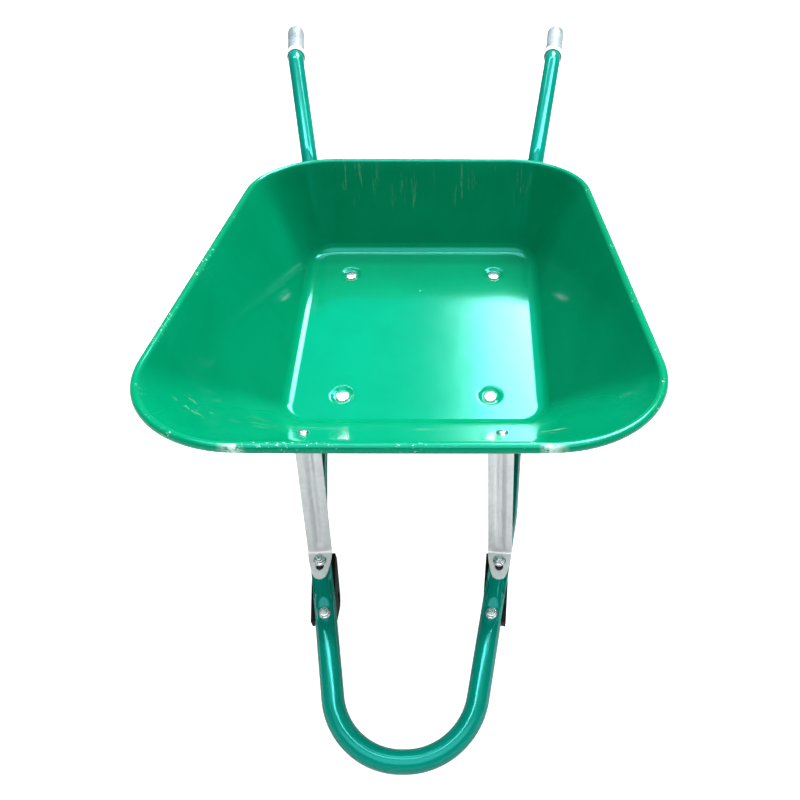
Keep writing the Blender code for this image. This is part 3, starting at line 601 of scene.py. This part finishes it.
def make_tray():
    front = Vector((FLOOR_HALF_WIDTH, FLOOR_FRONT_Y, 0))
    rear = Vector((FLOOR_HALF_WIDTH, FLOOR_REAR_Y, 0))
    floor = outline_through(front, rear, FLOOR_CORNER_RADIUS, FLOOR_CORNER_RADIUS)
    bead = outline_through(RIM_FRONT, RIM_REAR, RIM_FRONT_RADIUS, RIM_REAR_RADIUS)
    sections = [tray_section(*edges)
                for edges in zip(floor, outward_ways(floor), bead, outward_ways(bead))]
    rings = list(zip(*sections))
    count = len(sections)
    builder = bmesh.new()
    rim_layer = builder.verts.layers.float.new("rim")
    bare_layer = builder.verts.layers.float.new("bare")
    carry = ROOT @ Matrix.Scale(MM, 4)
    rows = []
    for index, ring in enumerate(rings):
        row = []
        for point in ring:
            vertex = builder.verts.new(carry @ point)
            up_bead = index - (len(rings) - BEAD_STEPS - 1)
            vertex[rim_layer] = ease((up_bead + 1) / 5)
            if point.y < RIM_FRONT.y + 12 and up_bead > 3:
                vertex[bare_layer] = ease(1 - abs(abs(point.x) - LAP_X - 8) / 12)
            row.append(vertex)
        rows.append(row)
    for lower, upper in zip(rows, rows[1:]):
        for index in range(count):
            after = (index + 1) % count
            builder.faces.new((lower[index], lower[after], upper[after], upper[index]))
    dishes = [dish_rings(place, DISH_RADIUS, DISH_FLOOR_RADIUS, DISH_DEPTH, HOLE_RADIUS)
              for place in bolt_places()]
    dishes.append(dish_rings(CENTRE_MARK, 3.9, 2.0, 1.0, 0.3))
    fill_floor(builder, carry, rows[0], dishes)
    bmesh.ops.recalc_face_normals(builder, faces=builder.faces)
    middle = max(builder.faces, key=lambda face: face.calc_area())
    if middle.normal.dot(carry.to_3x3() @ UP) < 0:
        bmesh.ops.reverse_faces(builder, faces=builder.faces)
    mesh = bpy.data.meshes.new("fine_tray")
    builder.to_mesh(mesh)
    builder.free()
    smooth(mesh, 50)
    mesh.materials.append(TRAY_PAINT)
    tray = bpy.data.objects.new("fine_tray", mesh)
    bpy.context.scene.collection.objects.link(tray)
    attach(tray, "root")
    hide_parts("tray")
    add_sheet(tray, TRAY_SHEET)


# ---------------------------------------------------------------- frame tube

TUBE_SIDES = 40
DIMPLE_HALF = 11  # half the dimple's level length, and the length of each run-out
SLOT_SHADE_SHIFT = 7.0
SLOT_SHADE_RADIUS = 13.0


def rail_segment(y):
    corners = (NOSE, SPREAD_CHANGE, RAIL_START, RAIL_END)
    index = max(i for i, corner in enumerate(corners[:-1]) if corner.y <= y)
    return corners[index], corners[index + 1]


def rail_point(y):
    before, after = rail_segment(y)
    return before.lerp(after, (y - before.y) / (after.y - before.y))


def rail_up(y):
    """The upward way across the tube."""
    before, after = rail_segment(y)
    along = (after - before).normalized()
    return Vector((along.y, -along.x, 0)).normalized().cross(along)


def make_tube():
    nose_radius = 0.97 * NOSE.x / math.tan(math.radians(NOSE_TURN / 2))
    half = [(NOSE, nose_radius), (SPREAD_CHANGE, 250.0), (RAIL_START, 250.0), (RAIL_END, 100.0),
            (HANDLE_FOOT, 100.0), (GRIP_BEND, 45.0)]
    corners = [opposite(HANDLE_END)] + [opposite(corner) for corner, _ in reversed(half)]
    corners += [corner for corner, _ in half] + [HANDLE_END]
    radii = [radius for _, radius in reversed(half)] + [radius for _, radius in half]
    places = spaced(bent_path(corners, radii, 3), 6.0)
    dimple_y = BRACKET_BOLT_YS[0]
    before, after = rail_segment(dimple_y)
    run = (after - before).normalized()
    seat = rail_point(dimple_y) + rail_up(dimple_y) * TUBE_RADIUS
    dimples = ((seat, rail_up(dimple_y), run), (opposite(seat), opposite(rail_up(dimple_y)), opposite(run)))
    rings = []
    side = places[0][2].cross(UP).normalized()
    for _, place, way in places:
        side = (side - way * side.dot(way)).normalized()
        top = side.cross(way)
        ring = []
        for step in range(TUBE_SIDES):
            angle = 2 * math.pi * step / TUBE_SIDES
            point = place + (side * math.cos(angle) + top * math.sin(angle)) * TUBE_RADIUS
            for foot, normal, along in dimples:
                away = point - foot
                limit = -DIMPLE_DEPTH * (1 - ease((abs(away.dot(along)) - DIMPLE_HALF) / DIMPLE_HALF))
                if abs(away.dot(along)) < 24 and limit < away.dot(normal) < 2:
                    point = point + normal * (limit - away.dot(normal))
            ring.append(point)
        rings.append(ring)
    points = [point for ring in rings for point in ring]
    faces = grid_faces(len(rings), TUBE_SIDES, wrap_columns=True)
    faces.append(tuple(range(TUBE_SIDES)))
    faces.append(tuple(range(len(points) - 1, len(points) - TUBE_SIDES - 1, -1)))
    tube = add_piece("fine_tube", points, faces, TUBE_PAINT, ["frame_tube"])
    face_outwards(tube)
    darken_slots(tube)


def darken_slots(tube):
    """The tube's faces under the slots of the stays' ears, in black: a painted shadow."""
    tube.data.materials.append(SLOT_SHADOW_PAINT)
    normal = rail_up(BRACKET_BOLT_YS[1])
    before, after = rail_segment(BRACKET_BOLT_YS[1])
    foot = rail_point(BRACKET_BOLT_YS[1]) + normal * TUBE_RADIUS
    foot -= (after - before).normalized() * SLOT_SHADE_SHIFT
    for side in SIDES:
        place = ROOT @ (on_side(side)(foot) * MM)
        for face in tube.data.polygons:
            if (face.center - place).length < SLOT_SHADE_RADIUS * MM:
                face.material_index = 1


def face_outwards(item):
    builder = bmesh.new()
    builder.from_mesh(item.data)
    bmesh.ops.recalc_face_normals(builder, faces=builder.faces)
    builder.to_mesh(item.data)
    builder.free()
    smooth(item.data)


# ---------------------------------------------------------------- pressed strips

STRIP_COLUMNS = 16


def groove_share(offset):
    """How deep the groove is at an offset from the strip's middle, from 0 to 1."""
    return ease((GROOVE_HALF - abs(offset)) / (GROOVE_HALF - 2.0))


def round_end(half_width):
    return [(mark, math.sqrt(half_width**2 - (half_width - mark) ** 2))
            for mark in (half_width * (1 - math.cos(math.radians(9 * step))) for step in range(1, 11))]


def outline_at(outline, length, half_width):
    if not outline or length >= outline[-1][0]:
        return half_width
    for (near, narrow), (far, wide) in zip(outline, outline[1:]):
        if length <= far:
            return narrow + (wide - narrow) * max((length - near) / (far - near), 0)
    return half_width


def bent_strip(name, corners, radii, across, half_width, grooves, ends, replaced, flip=None):
    """A strip bent along corners, its groove pressed in from the face on the side of across x path."""
    path = bent_path(corners, radii, 5)
    total = sum((second - first).length for first, second in zip(path, path[1:]))
    ramp = 12.0
    grooves = [(start, end if end > 0 else total + end) for start, end in grooves]
    places = spaced(path, 3.0)
    sections = []
    for length, place, way in places:
        width = min(outline_at(ends[0], length, half_width),
                    outline_at(ends[1], total - length, half_width))
        aside = across[0].lerp(across[1], min(max((length - EAR) / (total - 2 * EAR), 0), 1))
        outward = aside.cross(way)
        depth = 0.0
        for start, end in grooves:
            inside = min((length - start) / ramp, (end - length) / ramp, 1.0)
            depth = max(depth, GROOVE_DEPTH * ease(inside))
        section = []
        for column in range(STRIP_COLUMNS + 1):
            offset = width * (1 - 2 * column / STRIP_COLUMNS)
            section.append(place + aside * offset - outward * (depth * groove_share(offset)))
        sections.append(section)
    points = [point for section in sections for point in section]
    faces = grid_faces(len(sections), STRIP_COLUMNS + 1)
    if flip:
        points = [flip(point) for point in points]
        faces = [tuple(reversed(face)) for face in faces]
    strip = add_piece(name, points, faces, GALVANISED, replaced)
    add_sheet(strip, STRIP_SHEET)
    add_soft_edges(strip, 0.5)
    return strip


def front_wall():
    """A point on the front wall's inner face at X = 0, its upward way and its outward normal."""
    foot = Vector((0, FLOOR_FRONT_Y, 0))
    span = Vector((0, RIM_FRONT.y, RIM_FRONT.z)) - foot
    rise = math.atan2(span.z, -span.y) + math.asin(7.0 / span.length)
    return foot, Vector((0, -math.cos(rise), math.sin(rise))), Vector((0, -math.sin(rise), -math.cos(rise)))


def meet(first, first_way, second, second_way):
    """Where two lines in the YZ plane cross, on the first line."""
    across = Vector((0, second_way.z, -second_way.y))
    return first + first_way * ((second - first).dot(across) / first_way.dot(across))


def tongue_end():
    """The narrow, rounded lower end of a stay."""
    tip = [(6.0 * (1 - math.cos(math.radians(15 * step))), 9.6 * math.sin(math.radians(15 * step)))
           for step in range(1, 7)]
    return tip + [(10.0, 11.7), (14.0, 12.7), (24.0, 15.4), (34.0, 17.2), (40.0, STAY_HALF_WIDTH)]


def make_stays():
    """Returns the upper bolt's seat, the way of its head and its grip."""
    up = rail_up(BRACKET_BOLT_YS[1])
    ear_bolt = rail_point(BRACKET_BOLT_YS[1]) + up * TUBE_SEAT
    across = Vector((1, -BRACKET_YAW, 0)).normalized()
    along = up.cross(across).normalized()
    ear_face = ear_bolt + up * (GAP + STRIP_SHEET)
    tip = ear_face - along * STAY_TIP
    bend = ear_face + along * STAY_BEND
    rise = Vector((0, STAY_LEAN, 1)).normalized()
    foot, wall, outward = front_wall()
    skin = TRAY_SHEET + GAP + STRIP_SHEET
    top_bend = meet(bend, rise, foot + outward * skin, wall)
    top_bend.x = STAY_TOP_X
    top = top_bend + wall * STAY_TOP_RUN
    for side in SIDES:
        stay = bent_strip(f"fine_stay_{side}", [tip, bend, top_bend, top], (5.0, 14.0),
                          (across, Vector((1, 0, 0))), STAY_HALF_WIDTH, [(44.0, -52.0)],
                          (tongue_end(), round_end(STAY_HALF_WIDTH)), [f"stay_{side}"],
                          on_side(side) if side == "left" else None)
        cut_slot(stay, side, ear_face, up, along)
    return top_bend + wall * STAY_TOP_BOLT - outward * skin, -outward, skin


def cut_slot(stay, side, place, up, along):
    """The round-ended slot that runs from the bolt towards the nose."""
    flip = on_side(side)
    outline = []
    for start, shift in ((0.0, 0.0), (math.pi, SLOT_RUN)):
        for step in range(25):
            angle = start + math.pi * step / 24
            outline.append((SLOT_RADIUS * math.cos(angle), SLOT_RADIUS * math.sin(angle) - shift))
    across = along.cross(up)
    points = [flip(place + across * x + along * y + up * z) for z in (6.0, -6.0) for x, y in outline]
    count = len(outline)
    faces = [tuple(range(count)), tuple(range(2 * count - 1, count - 1, -1))]
    faces += [(i, i + count, (i + 1) % count + count, (i + 1) % count) for i in range(count)]
    mesh = bpy.data.meshes.new("slot")
    mesh.from_pydata([ROOT @ (point * MM) for point in points], [], faces)
    cutter = bpy.data.objects.new("slot", mesh)
    bpy.context.scene.collection.objects.link(cutter)
    face_outwards(cutter)
    modifier = stay.modifiers.new("slot", "BOOLEAN")
    modifier.operation = "DIFFERENCE"
    modifier.object = cutter
    modifier.solver = "EXACT"
    bpy.context.view_layer.update()
    graph = bpy.context.evaluated_depsgraph_get()
    finished = bpy.data.meshes.new_from_object(stay.evaluated_get(graph))
    stay.modifiers.clear()
    stay.data = finished
    bpy.data.objects.remove(cutter, do_unlink=True)


def make_legs():
    """Legs, struts and brace; the plane of each side follows its rail."""
    along = (RAIL_END - RAIL_START).normalized()
    across = Vector((along.y, -along.x, 0))
    under_rail = RAIL_Z - TUBE_SEAT - GAP
    rear = rail_point(REAR_BOLTS[1])
    origin = Vector((rear.x, rear.y, 0))

    def at(run, z):
        return origin + along * run + UP * z

    lean = (LEG_ANKLE - LEG_KNEE) / (under_rail - GROUND_Z)
    strut_run = LEG_KNEE + lean * (under_rail - STRUT_Z)
    behind = STRIP_SHEET + GROOVE_DEPTH + GAP
    front_run = (FRONT_BOLTS[1] - rear.y) / along.y
    ear_run = strut_run - behind
    rounded = (round_end(LEG_HALF_WIDTH), round_end(LEG_HALF_WIDTH))
    leg = [at(-STRIP_END, under_rail), at(LEG_KNEE, under_rail), at(LEG_ANKLE, GROUND_Z),
           at(LEG_ANKLE - FOOT_LENGTH, GROUND_Z)]
    strut = [at(front_run - STRIP_END, under_rail), at(front_run + 24, under_rail),
             at(ear_run - lean * 22, STRUT_Z + 22), at(ear_run + lean * STRIP_END, STRUT_Z - STRIP_END)]
    for side in SIDES:
        flip = on_side(side) if side == "left" else None
        bent_strip(f"fine_leg_{side}", leg, (10.0, 14.0), (across, across), LEG_HALF_WIDTH,
                   [(64.0, -FOOT_LENGTH - 24.0)], rounded, [f"leg_{side}"], flip)
        bent_strip(f"fine_leg_strut_{side}", strut, (14.0, 14.0), (across, across), LEG_HALF_WIDTH,
                   [(58.0, -56.0)], rounded, [f"leg_strut_{side}"], flip)
    brace_bolt = at(LEG_KNEE + lean * (under_rail - BRACE_Z), BRACE_Z)
    lean_room = 15.0 * lean + LEG_HALF_WIDTH * along.x
    face = brace_bolt.y + lean_room + GAP + STRIP_SHEET + GAP
    reach = brace_bolt.x + 18.0
    bent_strip("fine_leg_brace", [Vector((-reach, face, BRACE_Z)), Vector((reach, face, BRACE_Z))], (),
               (UP, UP), 15.0, [(34.0, -34.0)], ((), ()), ["leg_brace"])
    fasten("strut", at(strut_run, STRUT_Z), along, STRIP_SHEET * 2 + GROOVE_DEPTH + GAP)
    fasten("brace", Vector((brace_bolt.x, face, BRACE_Z)), Vector((0, 1, 0)),
           face - brace_bolt.y + STRIP_SHEET + GROOVE_DEPTH + lean_room)


# ---------------------------------------------------------------- fasteners

ROUND = 40


def head_profile(reach, thread, head):
    """A mushroom head with a small flat crown, a plain shank and a thread at its end."""
    profile = [(0.001, HEAD_HEIGHT)]
    for step in range(9):
        turn = math.radians(10 + 10 * step)
        profile.append(((head - 0.2) * math.sin(turn) ** 0.9, 0.35 + (HEAD_HEIGHT - 0.35) * math.cos(turn)))
    profile += [(head - 0.1, 0.2), (head - 0.3, 0.0), (BOLT_RADIUS, 0.0), (BOLT_RADIUS, -reach + thread)]
    turns = int(thread / THREAD_PITCH)
    for turn in range(turns):
        z = -reach + thread - (turn + 0.5) * THREAD_PITCH
        profile += [(BOLT_RADIUS - 0.6, z), (BOLT_RADIUS, z - THREAD_PITCH / 2)]
    profile += [(BOLT_RADIUS - 0.9, -reach), (0.001, -reach)]
    return profile


def nut_profile(angle):
    """Chamfered hexagon above a round flange, with the bolt's hole."""
    from_flat = abs((math.degrees(angle) % 60) - 30)
    hexagon = NUT_FLATS / 2 / math.cos(math.radians(from_flat))
    bore = BOLT_RADIUS + GAP / 2
    crown = NUT_FLATS / 2 - 0.1
    drop = (hexagon - crown) * 0.55
    return ((bore, NUT_HEIGHT - 0.6), (bore + 0.5, NUT_HEIGHT), (crown - 0.5, NUT_HEIGHT),
            (min(hexagon, crown + 0.1), NUT_HEIGHT - 0.15), (hexagon, NUT_HEIGHT - 0.3 - drop),
            (hexagon, NUT_FLANGE + 1.0), (hexagon + 0.35, NUT_FLANGE + 0.35),
            (NUT_FLANGE_RADIUS - 0.5, NUT_FLANGE),
            (NUT_FLANGE_RADIUS, NUT_FLANGE - 0.5), (NUT_FLANGE_RADIUS, 0.0), (bore, 0.0))


WASHER_PROFILE = (
    (BOLT_RADIUS + GAP, WASHER_THICKNESS), (WASHER_RADIUS - 0.4, WASHER_THICKNESS),
    (WASHER_RADIUS, WASHER_THICKNESS - 0.4), (WASHER_RADIUS, 0.0), (BOLT_RADIUS + GAP, 0.0),
)


def fasten(name, seat, direction, grip, head_radius=HEAD_RADIUS):
    """A bolt whose head stands on the seat, and its nut on the far side of a grip's thickness."""
    reach = grip + 3 * GAP + NUT_HEIGHT + BOLT_SHOWING
    thread = min(reach - 1, NUT_HEIGHT + BOLT_SHOWING + 4)
    for side in SIDES:
        flip = on_side(side)
        head = flip(direction)
        points, faces = turned_mesh(head_profile(reach, thread, head_radius), ROUND)
        place = flip(seat) + head * GAP
        add_piece(f"fine_{name}_bolt_{side}", points, faces, ZINC, [f"{name}_bolt_{side}"],
                  standing(place, head))
        points, faces = turned_mesh(nut_profile, 72, closed=True)
        under = flip(seat) - head * (grip + GAP)
        add_piece(f"fine_{name}_nut_{side}", points, faces, ZINC, [f"{name}_nut_{side}"],
                  standing(under, -head))


def make_fasteners(stay_bolt):
    fasten("stay_top", *stay_bolt)
    for name, (half, y) in (("tray_front", FRONT_BOLTS), ("tray_rear", REAR_BOLTS)):
        fasten(name, Vector((half, y, -DISH_DEPTH)), UP, TRAY_SHEET + GAP + MEMBER_SHEET, TRAY_HEAD_RADIUS)
    member_top = -(DISH_DEPTH + TRAY_SHEET + GAP)
    for name, y in (("rail_front", FRONT_BOLTS[1]), ("rail_rear", REAR_BOLTS[1])):
        seat = rail_point(y)
        seat.z = member_top
        fasten(name, seat, UP, member_top - RAIL_Z + TUBE_SEAT + GAP + STRIP_SHEET)
    under = 2 * TUBE_SEAT + GAP + BRACKET_WALL
    ear = GAP + STRIP_SHEET
    stacks = (-DIMPLE_DEPTH, ear + GAP + WASHER_THICKNESS)
    for name, y, stack in zip(("bracket_front", "bracket_rear"), BRACKET_BOLT_YS, stacks):
        way = rail_up(y)
        seat = rail_point(y) + way * TUBE_SEAT
        fasten(name, seat - way * under, -way, under + stack)
    for side in SIDES:
        flip = on_side(side)
        points, faces = turned_mesh(WASHER_PROFILE, ROUND, closed=True)
        add_piece(f"fine_stay_washer_{side}", points, faces, ZINC, [f"stay_washer_{side}"],
                  standing(flip(seat + way * (ear + GAP)), flip(way)))


# ---------------------------------------------------------------- grips


def make_grips():
    """Closed-end grips with a soft waist, and the collars that the tube enters."""
    length = GRIP_LENGTH - COLLAR_LENGTH
    cap = GAP + 2.2
    dome = 5.0
    grip = [(0.001, cap), (GRIP_RADIUS - dome - 1, cap)]
    grip += [(GRIP_RADIUS - dome + dome * math.sin(turn), cap - dome + dome * math.cos(turn))
             for turn in (math.radians(15 * step) for step in range(1, 7))]
    for step in range(1, 25):
        share = step / 24
        swell = 0.35 * math.cos(2 * math.pi * share) - 0.35
        grip.append((GRIP_RADIUS + swell, cap - dome - (length + cap - dome) * share))
    grip += [(TUBE_RADIUS + 0.2, -length)]
    low = -GRIP_LENGTH
    high = -length - GAP
    collar = [(TUBE_RADIUS + 0.2, high), (GRIP_RADIUS - 0.4, high), (GRIP_RADIUS + 0.3, high - 0.8),
              (COLLAR_RADIUS - 0.3, high - 2.6), (COLLAR_RADIUS, high - 4.0), (COLLAR_RADIUS, low + 2.0),
              (COLLAR_RADIUS - 0.5, low + 0.6), (COLLAR_RADIUS - 1.3, low), (TUBE_RADIUS + 1.4, low),
              (TUBE_RADIUS + 0.5, low + 0.8), (TUBE_RADIUS + 0.5, low + 3.0)]
    for side in SIDES:
        flip = on_side(side)
        end = flip(HANDLE_END)
        way = (end - flip(GRIP_BEND)).normalized()
        points, faces = turned_mesh(grip, 56)
        add_piece(f"fine_grip_{side}", points, faces, GRIP, [f"grip_{side}"],
                  standing(end, way))
        points, faces = turned_mesh(collar, 56, closed=True)
        add_piece(f"fine_grip_collar_{side}", points, faces, COLLAR,
                  [f"grip_collar_{side}"], standing(end, way))


# ---------------------------------------------------------------- carried-over nodes


def finish_nodes():
    """Brackets and cross-members keep their CAD shape, with softened edges."""
    finishes = (("axle_bracket_left", BLACK), ("axle_bracket_right", BLACK),
                ("cross_member_front", GALVANISED), ("cross_member_rear", GALVANISED))
    for name, material in finishes:
        item = frame["nodes"][name]
        item.data.materials.clear()
        item.data.materials.append(material)
        add_soft_edges(item, 0.6 if material is GALVANISED else 1.0)


# ---------------------------------------------------------------- stage, light and camera


def make_stage():
    """A pale floor: white to look at, with little light of its own for the barrow."""
    mesh = bpy.data.meshes.new("studio_floor")
    half = 12.0
    corners = [(-half, -half, 0), (half, -half, 0), (half, half, 0), (-half, half, 0)]
    mesh.from_pydata(corners, [], [(0, 1, 2, 3)])
    item = bpy.data.objects.new("studio_floor", mesh)
    bpy.context.scene.collection.objects.link(item)
    item.location.z = -0.0005
    made = Material("studio_white", 0.9)
    made.set("Base Color", made.mix(made.noise(2), (0.44, 0.44, 0.44), (0.46, 0.46, 0.46)))
    made.set("Emission Color", (1, 1, 1, 1))
    seen = made.node("ShaderNodeLightPath").outputs["Is Camera Ray"]
    made.set("Emission Strength", made.span(seen, 0, 1, 0.06, 0.95))
    made.set("Specular IOR Level", 0.1)
    mesh.materials.append(made.data)


class Sky:
    """The studio round the barrow: soft windows in a dim room, by direction in the tray's frame."""

    def __init__(self):
        world = bpy.data.worlds.new("studio")
        bpy.context.scene.world = world
        world.use_nodes = True
        self.tree = world.node_tree
        self.background = self.tree.nodes["Background"]
        coordinates = self.tree.nodes.new("ShaderNodeTexCoord")
        level = self.tree.nodes.new("ShaderNodeVectorRotate")
        level.rotation_type = "X_AXIS"
        level.inputs["Angle"].default_value = -TILT
        self.tree.links.new(coordinates.outputs["Generated"], level.inputs["Vector"])
        split = self.tree.nodes.new("ShaderNodeSeparateXYZ")
        self.tree.links.new(level.outputs["Vector"], split.inputs["Vector"])
        x, y, z = split.outputs
        self.teal = self.tree.nodes.new("ShaderNodeBackground")
        self.azimuth = self.math("ARCTAN2", x, y)
        self.azimuth_from_nose = self.math("ARCTAN2", x, self.math("MULTIPLY", y, -1.0))
        self.elevation = self.math("ARCSINE", z)
        self.pitch = self.math("ARCTAN2", z, y)
        self.aside = x
        self.total = None

    def math(self, operation, first, second=None):
        made = self.tree.nodes.new("ShaderNodeMath")
        made.operation = operation
        for socket, value in zip(made.inputs, (first, second)):
            if value is None:
                continue
            if hasattr(value, "is_linked"):
                self.tree.links.new(value, socket)
            else:
                socket.default_value = value
        return made.outputs["Value"]

    def step(self, value, low, high):
        made = self.tree.nodes.new("ShaderNodeMapRange")
        made.interpolation_type = "SMOOTHSTEP"
        self.tree.links.new(value, made.inputs["Value"])
        made.inputs["From Min"].default_value = low
        made.inputs["From Max"].default_value = high
        return made.outputs["Result"]

    def between(self, value, low, high, soft_low, soft_high):
        """1 inside a range, falling to 0 over the given widths at its ends."""
        rising = self.step(value, low - soft_low, low)
        falling = self.math("SUBTRACT", 1.0, self.step(value, high, high + soft_high))
        return self.math("MULTIPLY", rising, falling)

    def add(self, light):
        self.total = light if self.total is None else self.math("ADD", self.total, light)

    def window(self, across, rise, softness, strength, overhead=False):
        """A soft rectangle in degrees of azimuth and elevation, or of X and pitch for a strip overhead."""
        aside = self.aside if overhead else self.azimuth
        high = self.pitch if overhead else self.elevation
        level = (*across, *softness[:2])
        if not overhead:
            level = [math.radians(value) for value in level]
        upright = [math.radians(value) for value in (*rise, *softness[2:])]
        shape = self.math("MULTIPLY", self.between(aside, *level), self.between(high, *upright))
        return self.math("MULTIPLY", shape, strength)

    def front_window(self, across, rise, softness, strength):
        """A soft window beyond the nose, its azimuth measured from -Y."""
        ahead = self.azimuth
        self.azimuth = self.azimuth_from_nose
        light = self.window(across, rise, softness, strength)
        self.azimuth = ahead
        return light

    def mostly_mirrored(self, light, diffuse_share):
        """The same light in reflections, but less of it on matt surfaces."""
        matt = self.tree.nodes.new("ShaderNodeLightPath").outputs["Is Diffuse Ray"]
        kept = self.math("SUBTRACT", 1.0, self.math("MULTIPLY", matt, 1.0 - diffuse_share))
        return self.math("MULTIPLY", light, kept)

    def finish(self, teal_light):
        """White light for what was added, and a teal one for the sheen on the tray's floor."""
        self.tree.links.new(self.total, self.background.inputs["Strength"])
        self.background.inputs["Color"].default_value = (1, 1, 1, 1)
        self.tree.links.new(teal_light, self.teal.inputs["Strength"])
        self.teal.inputs["Color"].default_value = (0.0, 0.85, 1, 1)
        both = self.tree.nodes.new("ShaderNodeAddShader")
        self.tree.links.new(self.background.outputs["Background"], both.inputs[0])
        self.tree.links.new(self.teal.outputs["Background"], both.inputs[1])
        self.tree.links.new(both.outputs["Shader"], self.tree.nodes["World Output"].inputs["Surface"])


KEY_PLACE = Vector((1300, 1150, 2200))
KEY_AIM = Vector((0, 150, 50))
KEY_DIAMETER = 0.9  # metres
KEY_ENERGY = 42  # watts
OVERHEAD = 0.76
ROOM = 0.18
OPEN_SKY = math.radians(40), math.radians(75)
HORIZON = math.radians(-10), math.radians(5)


def make_light():
    sky = Sky()
    sky.add(sky.math("MULTIPLY", sky.step(sky.elevation, *OPEN_SKY), OVERHEAD))
    above = sky.math("MULTIPLY", sky.step(sky.elevation, *HORIZON), -0.1)
    sky.add(sky.math("ADD", above, ROOM))
    # The bright window that the right half of the tray's floor mirrors.
    bright = sky.window((10, 27), (34, 52), (13, 6, 2, 2), 40.0)
    sky.add(sky.mostly_mirrored(bright, 0.4))
    # Ahead of the nose, high and low.
    sky.add(sky.front_window((-60, 60), (52, 86), (20, 20, 6, 6), 3.3))
    sky.add(sky.front_window((-70, 70), (-4, 22), (20, 20, 4, 8), 0.45))
    # Two strips overhead, for the lines along the floor's rear fillet.
    sky.add(sky.window((-0.4, 0.45), (60, 62.5), (0.1, 0.1, 1, 1), 34.0, overhead=True))
    sky.add(sky.window((-0.4, 0.45), (79, 81.5), (0.1, 0.1, 1, 1), 34.0, overhead=True))
    sky.finish(sky.window((-32, 10), (32, 54), (20, 10, 6, 6), 1.8))
    key = bpy.data.lights.new("key", "AREA")
    key.shape = "DISK"
    key.size = KEY_DIAMETER
    key.energy = KEY_ENERGY
    place = ROOT @ (KEY_PLACE * MM)
    turn = (ROOT @ (KEY_AIM * MM) - place).to_track_quat("-Z", "Y").to_matrix().to_4x4()
    item = bpy.data.objects.new("key", key)
    item.matrix_world = Matrix.Translation(place) @ turn
    bpy.context.scene.collection.objects.link(item)


CAMERA_PLACE = Vector((76, -896, 983))
CAMERA_YAW = -0.00378
CAMERA_PITCH = math.radians(50.64)
CAMERA_ROLL = math.radians(-0.1)
CAMERA_LENS = 35.19
CAMERA_SHIFT = (-0.0736, 0.0449)


def make_camera():
    data = bpy.data.cameras.new("camera")
    data.lens = CAMERA_LENS
    data.sensor_width = 36.0
    data.shift_x, data.shift_y = CAMERA_SHIFT
    data.clip_start = 0.02
    item = bpy.data.objects.new("camera", data)
    level = math.cos(CAMERA_PITCH)
    ahead = Vector((math.sin(CAMERA_YAW) * level, math.cos(CAMERA_YAW) * level, -math.sin(CAMERA_PITCH)))
    look = ahead.to_track_quat("-Z", "Y").to_matrix().to_4x4() @ Matrix.Rotation(CAMERA_ROLL, 4, "Z")
    item.matrix_world = ROOT @ Matrix.Translation(CAMERA_PLACE * MM) @ look
    bpy.context.scene.collection.objects.link(item)
    bpy.context.scene.camera = item


make_camera()
make_tray()
make_tube()
stay_bolt = make_stays()
make_legs()
make_fasteners(stay_bolt)
make_grips()
finish_nodes()
make_stage()
make_light()
bpy.context.scene.view_settings.view_transform = "Standard"
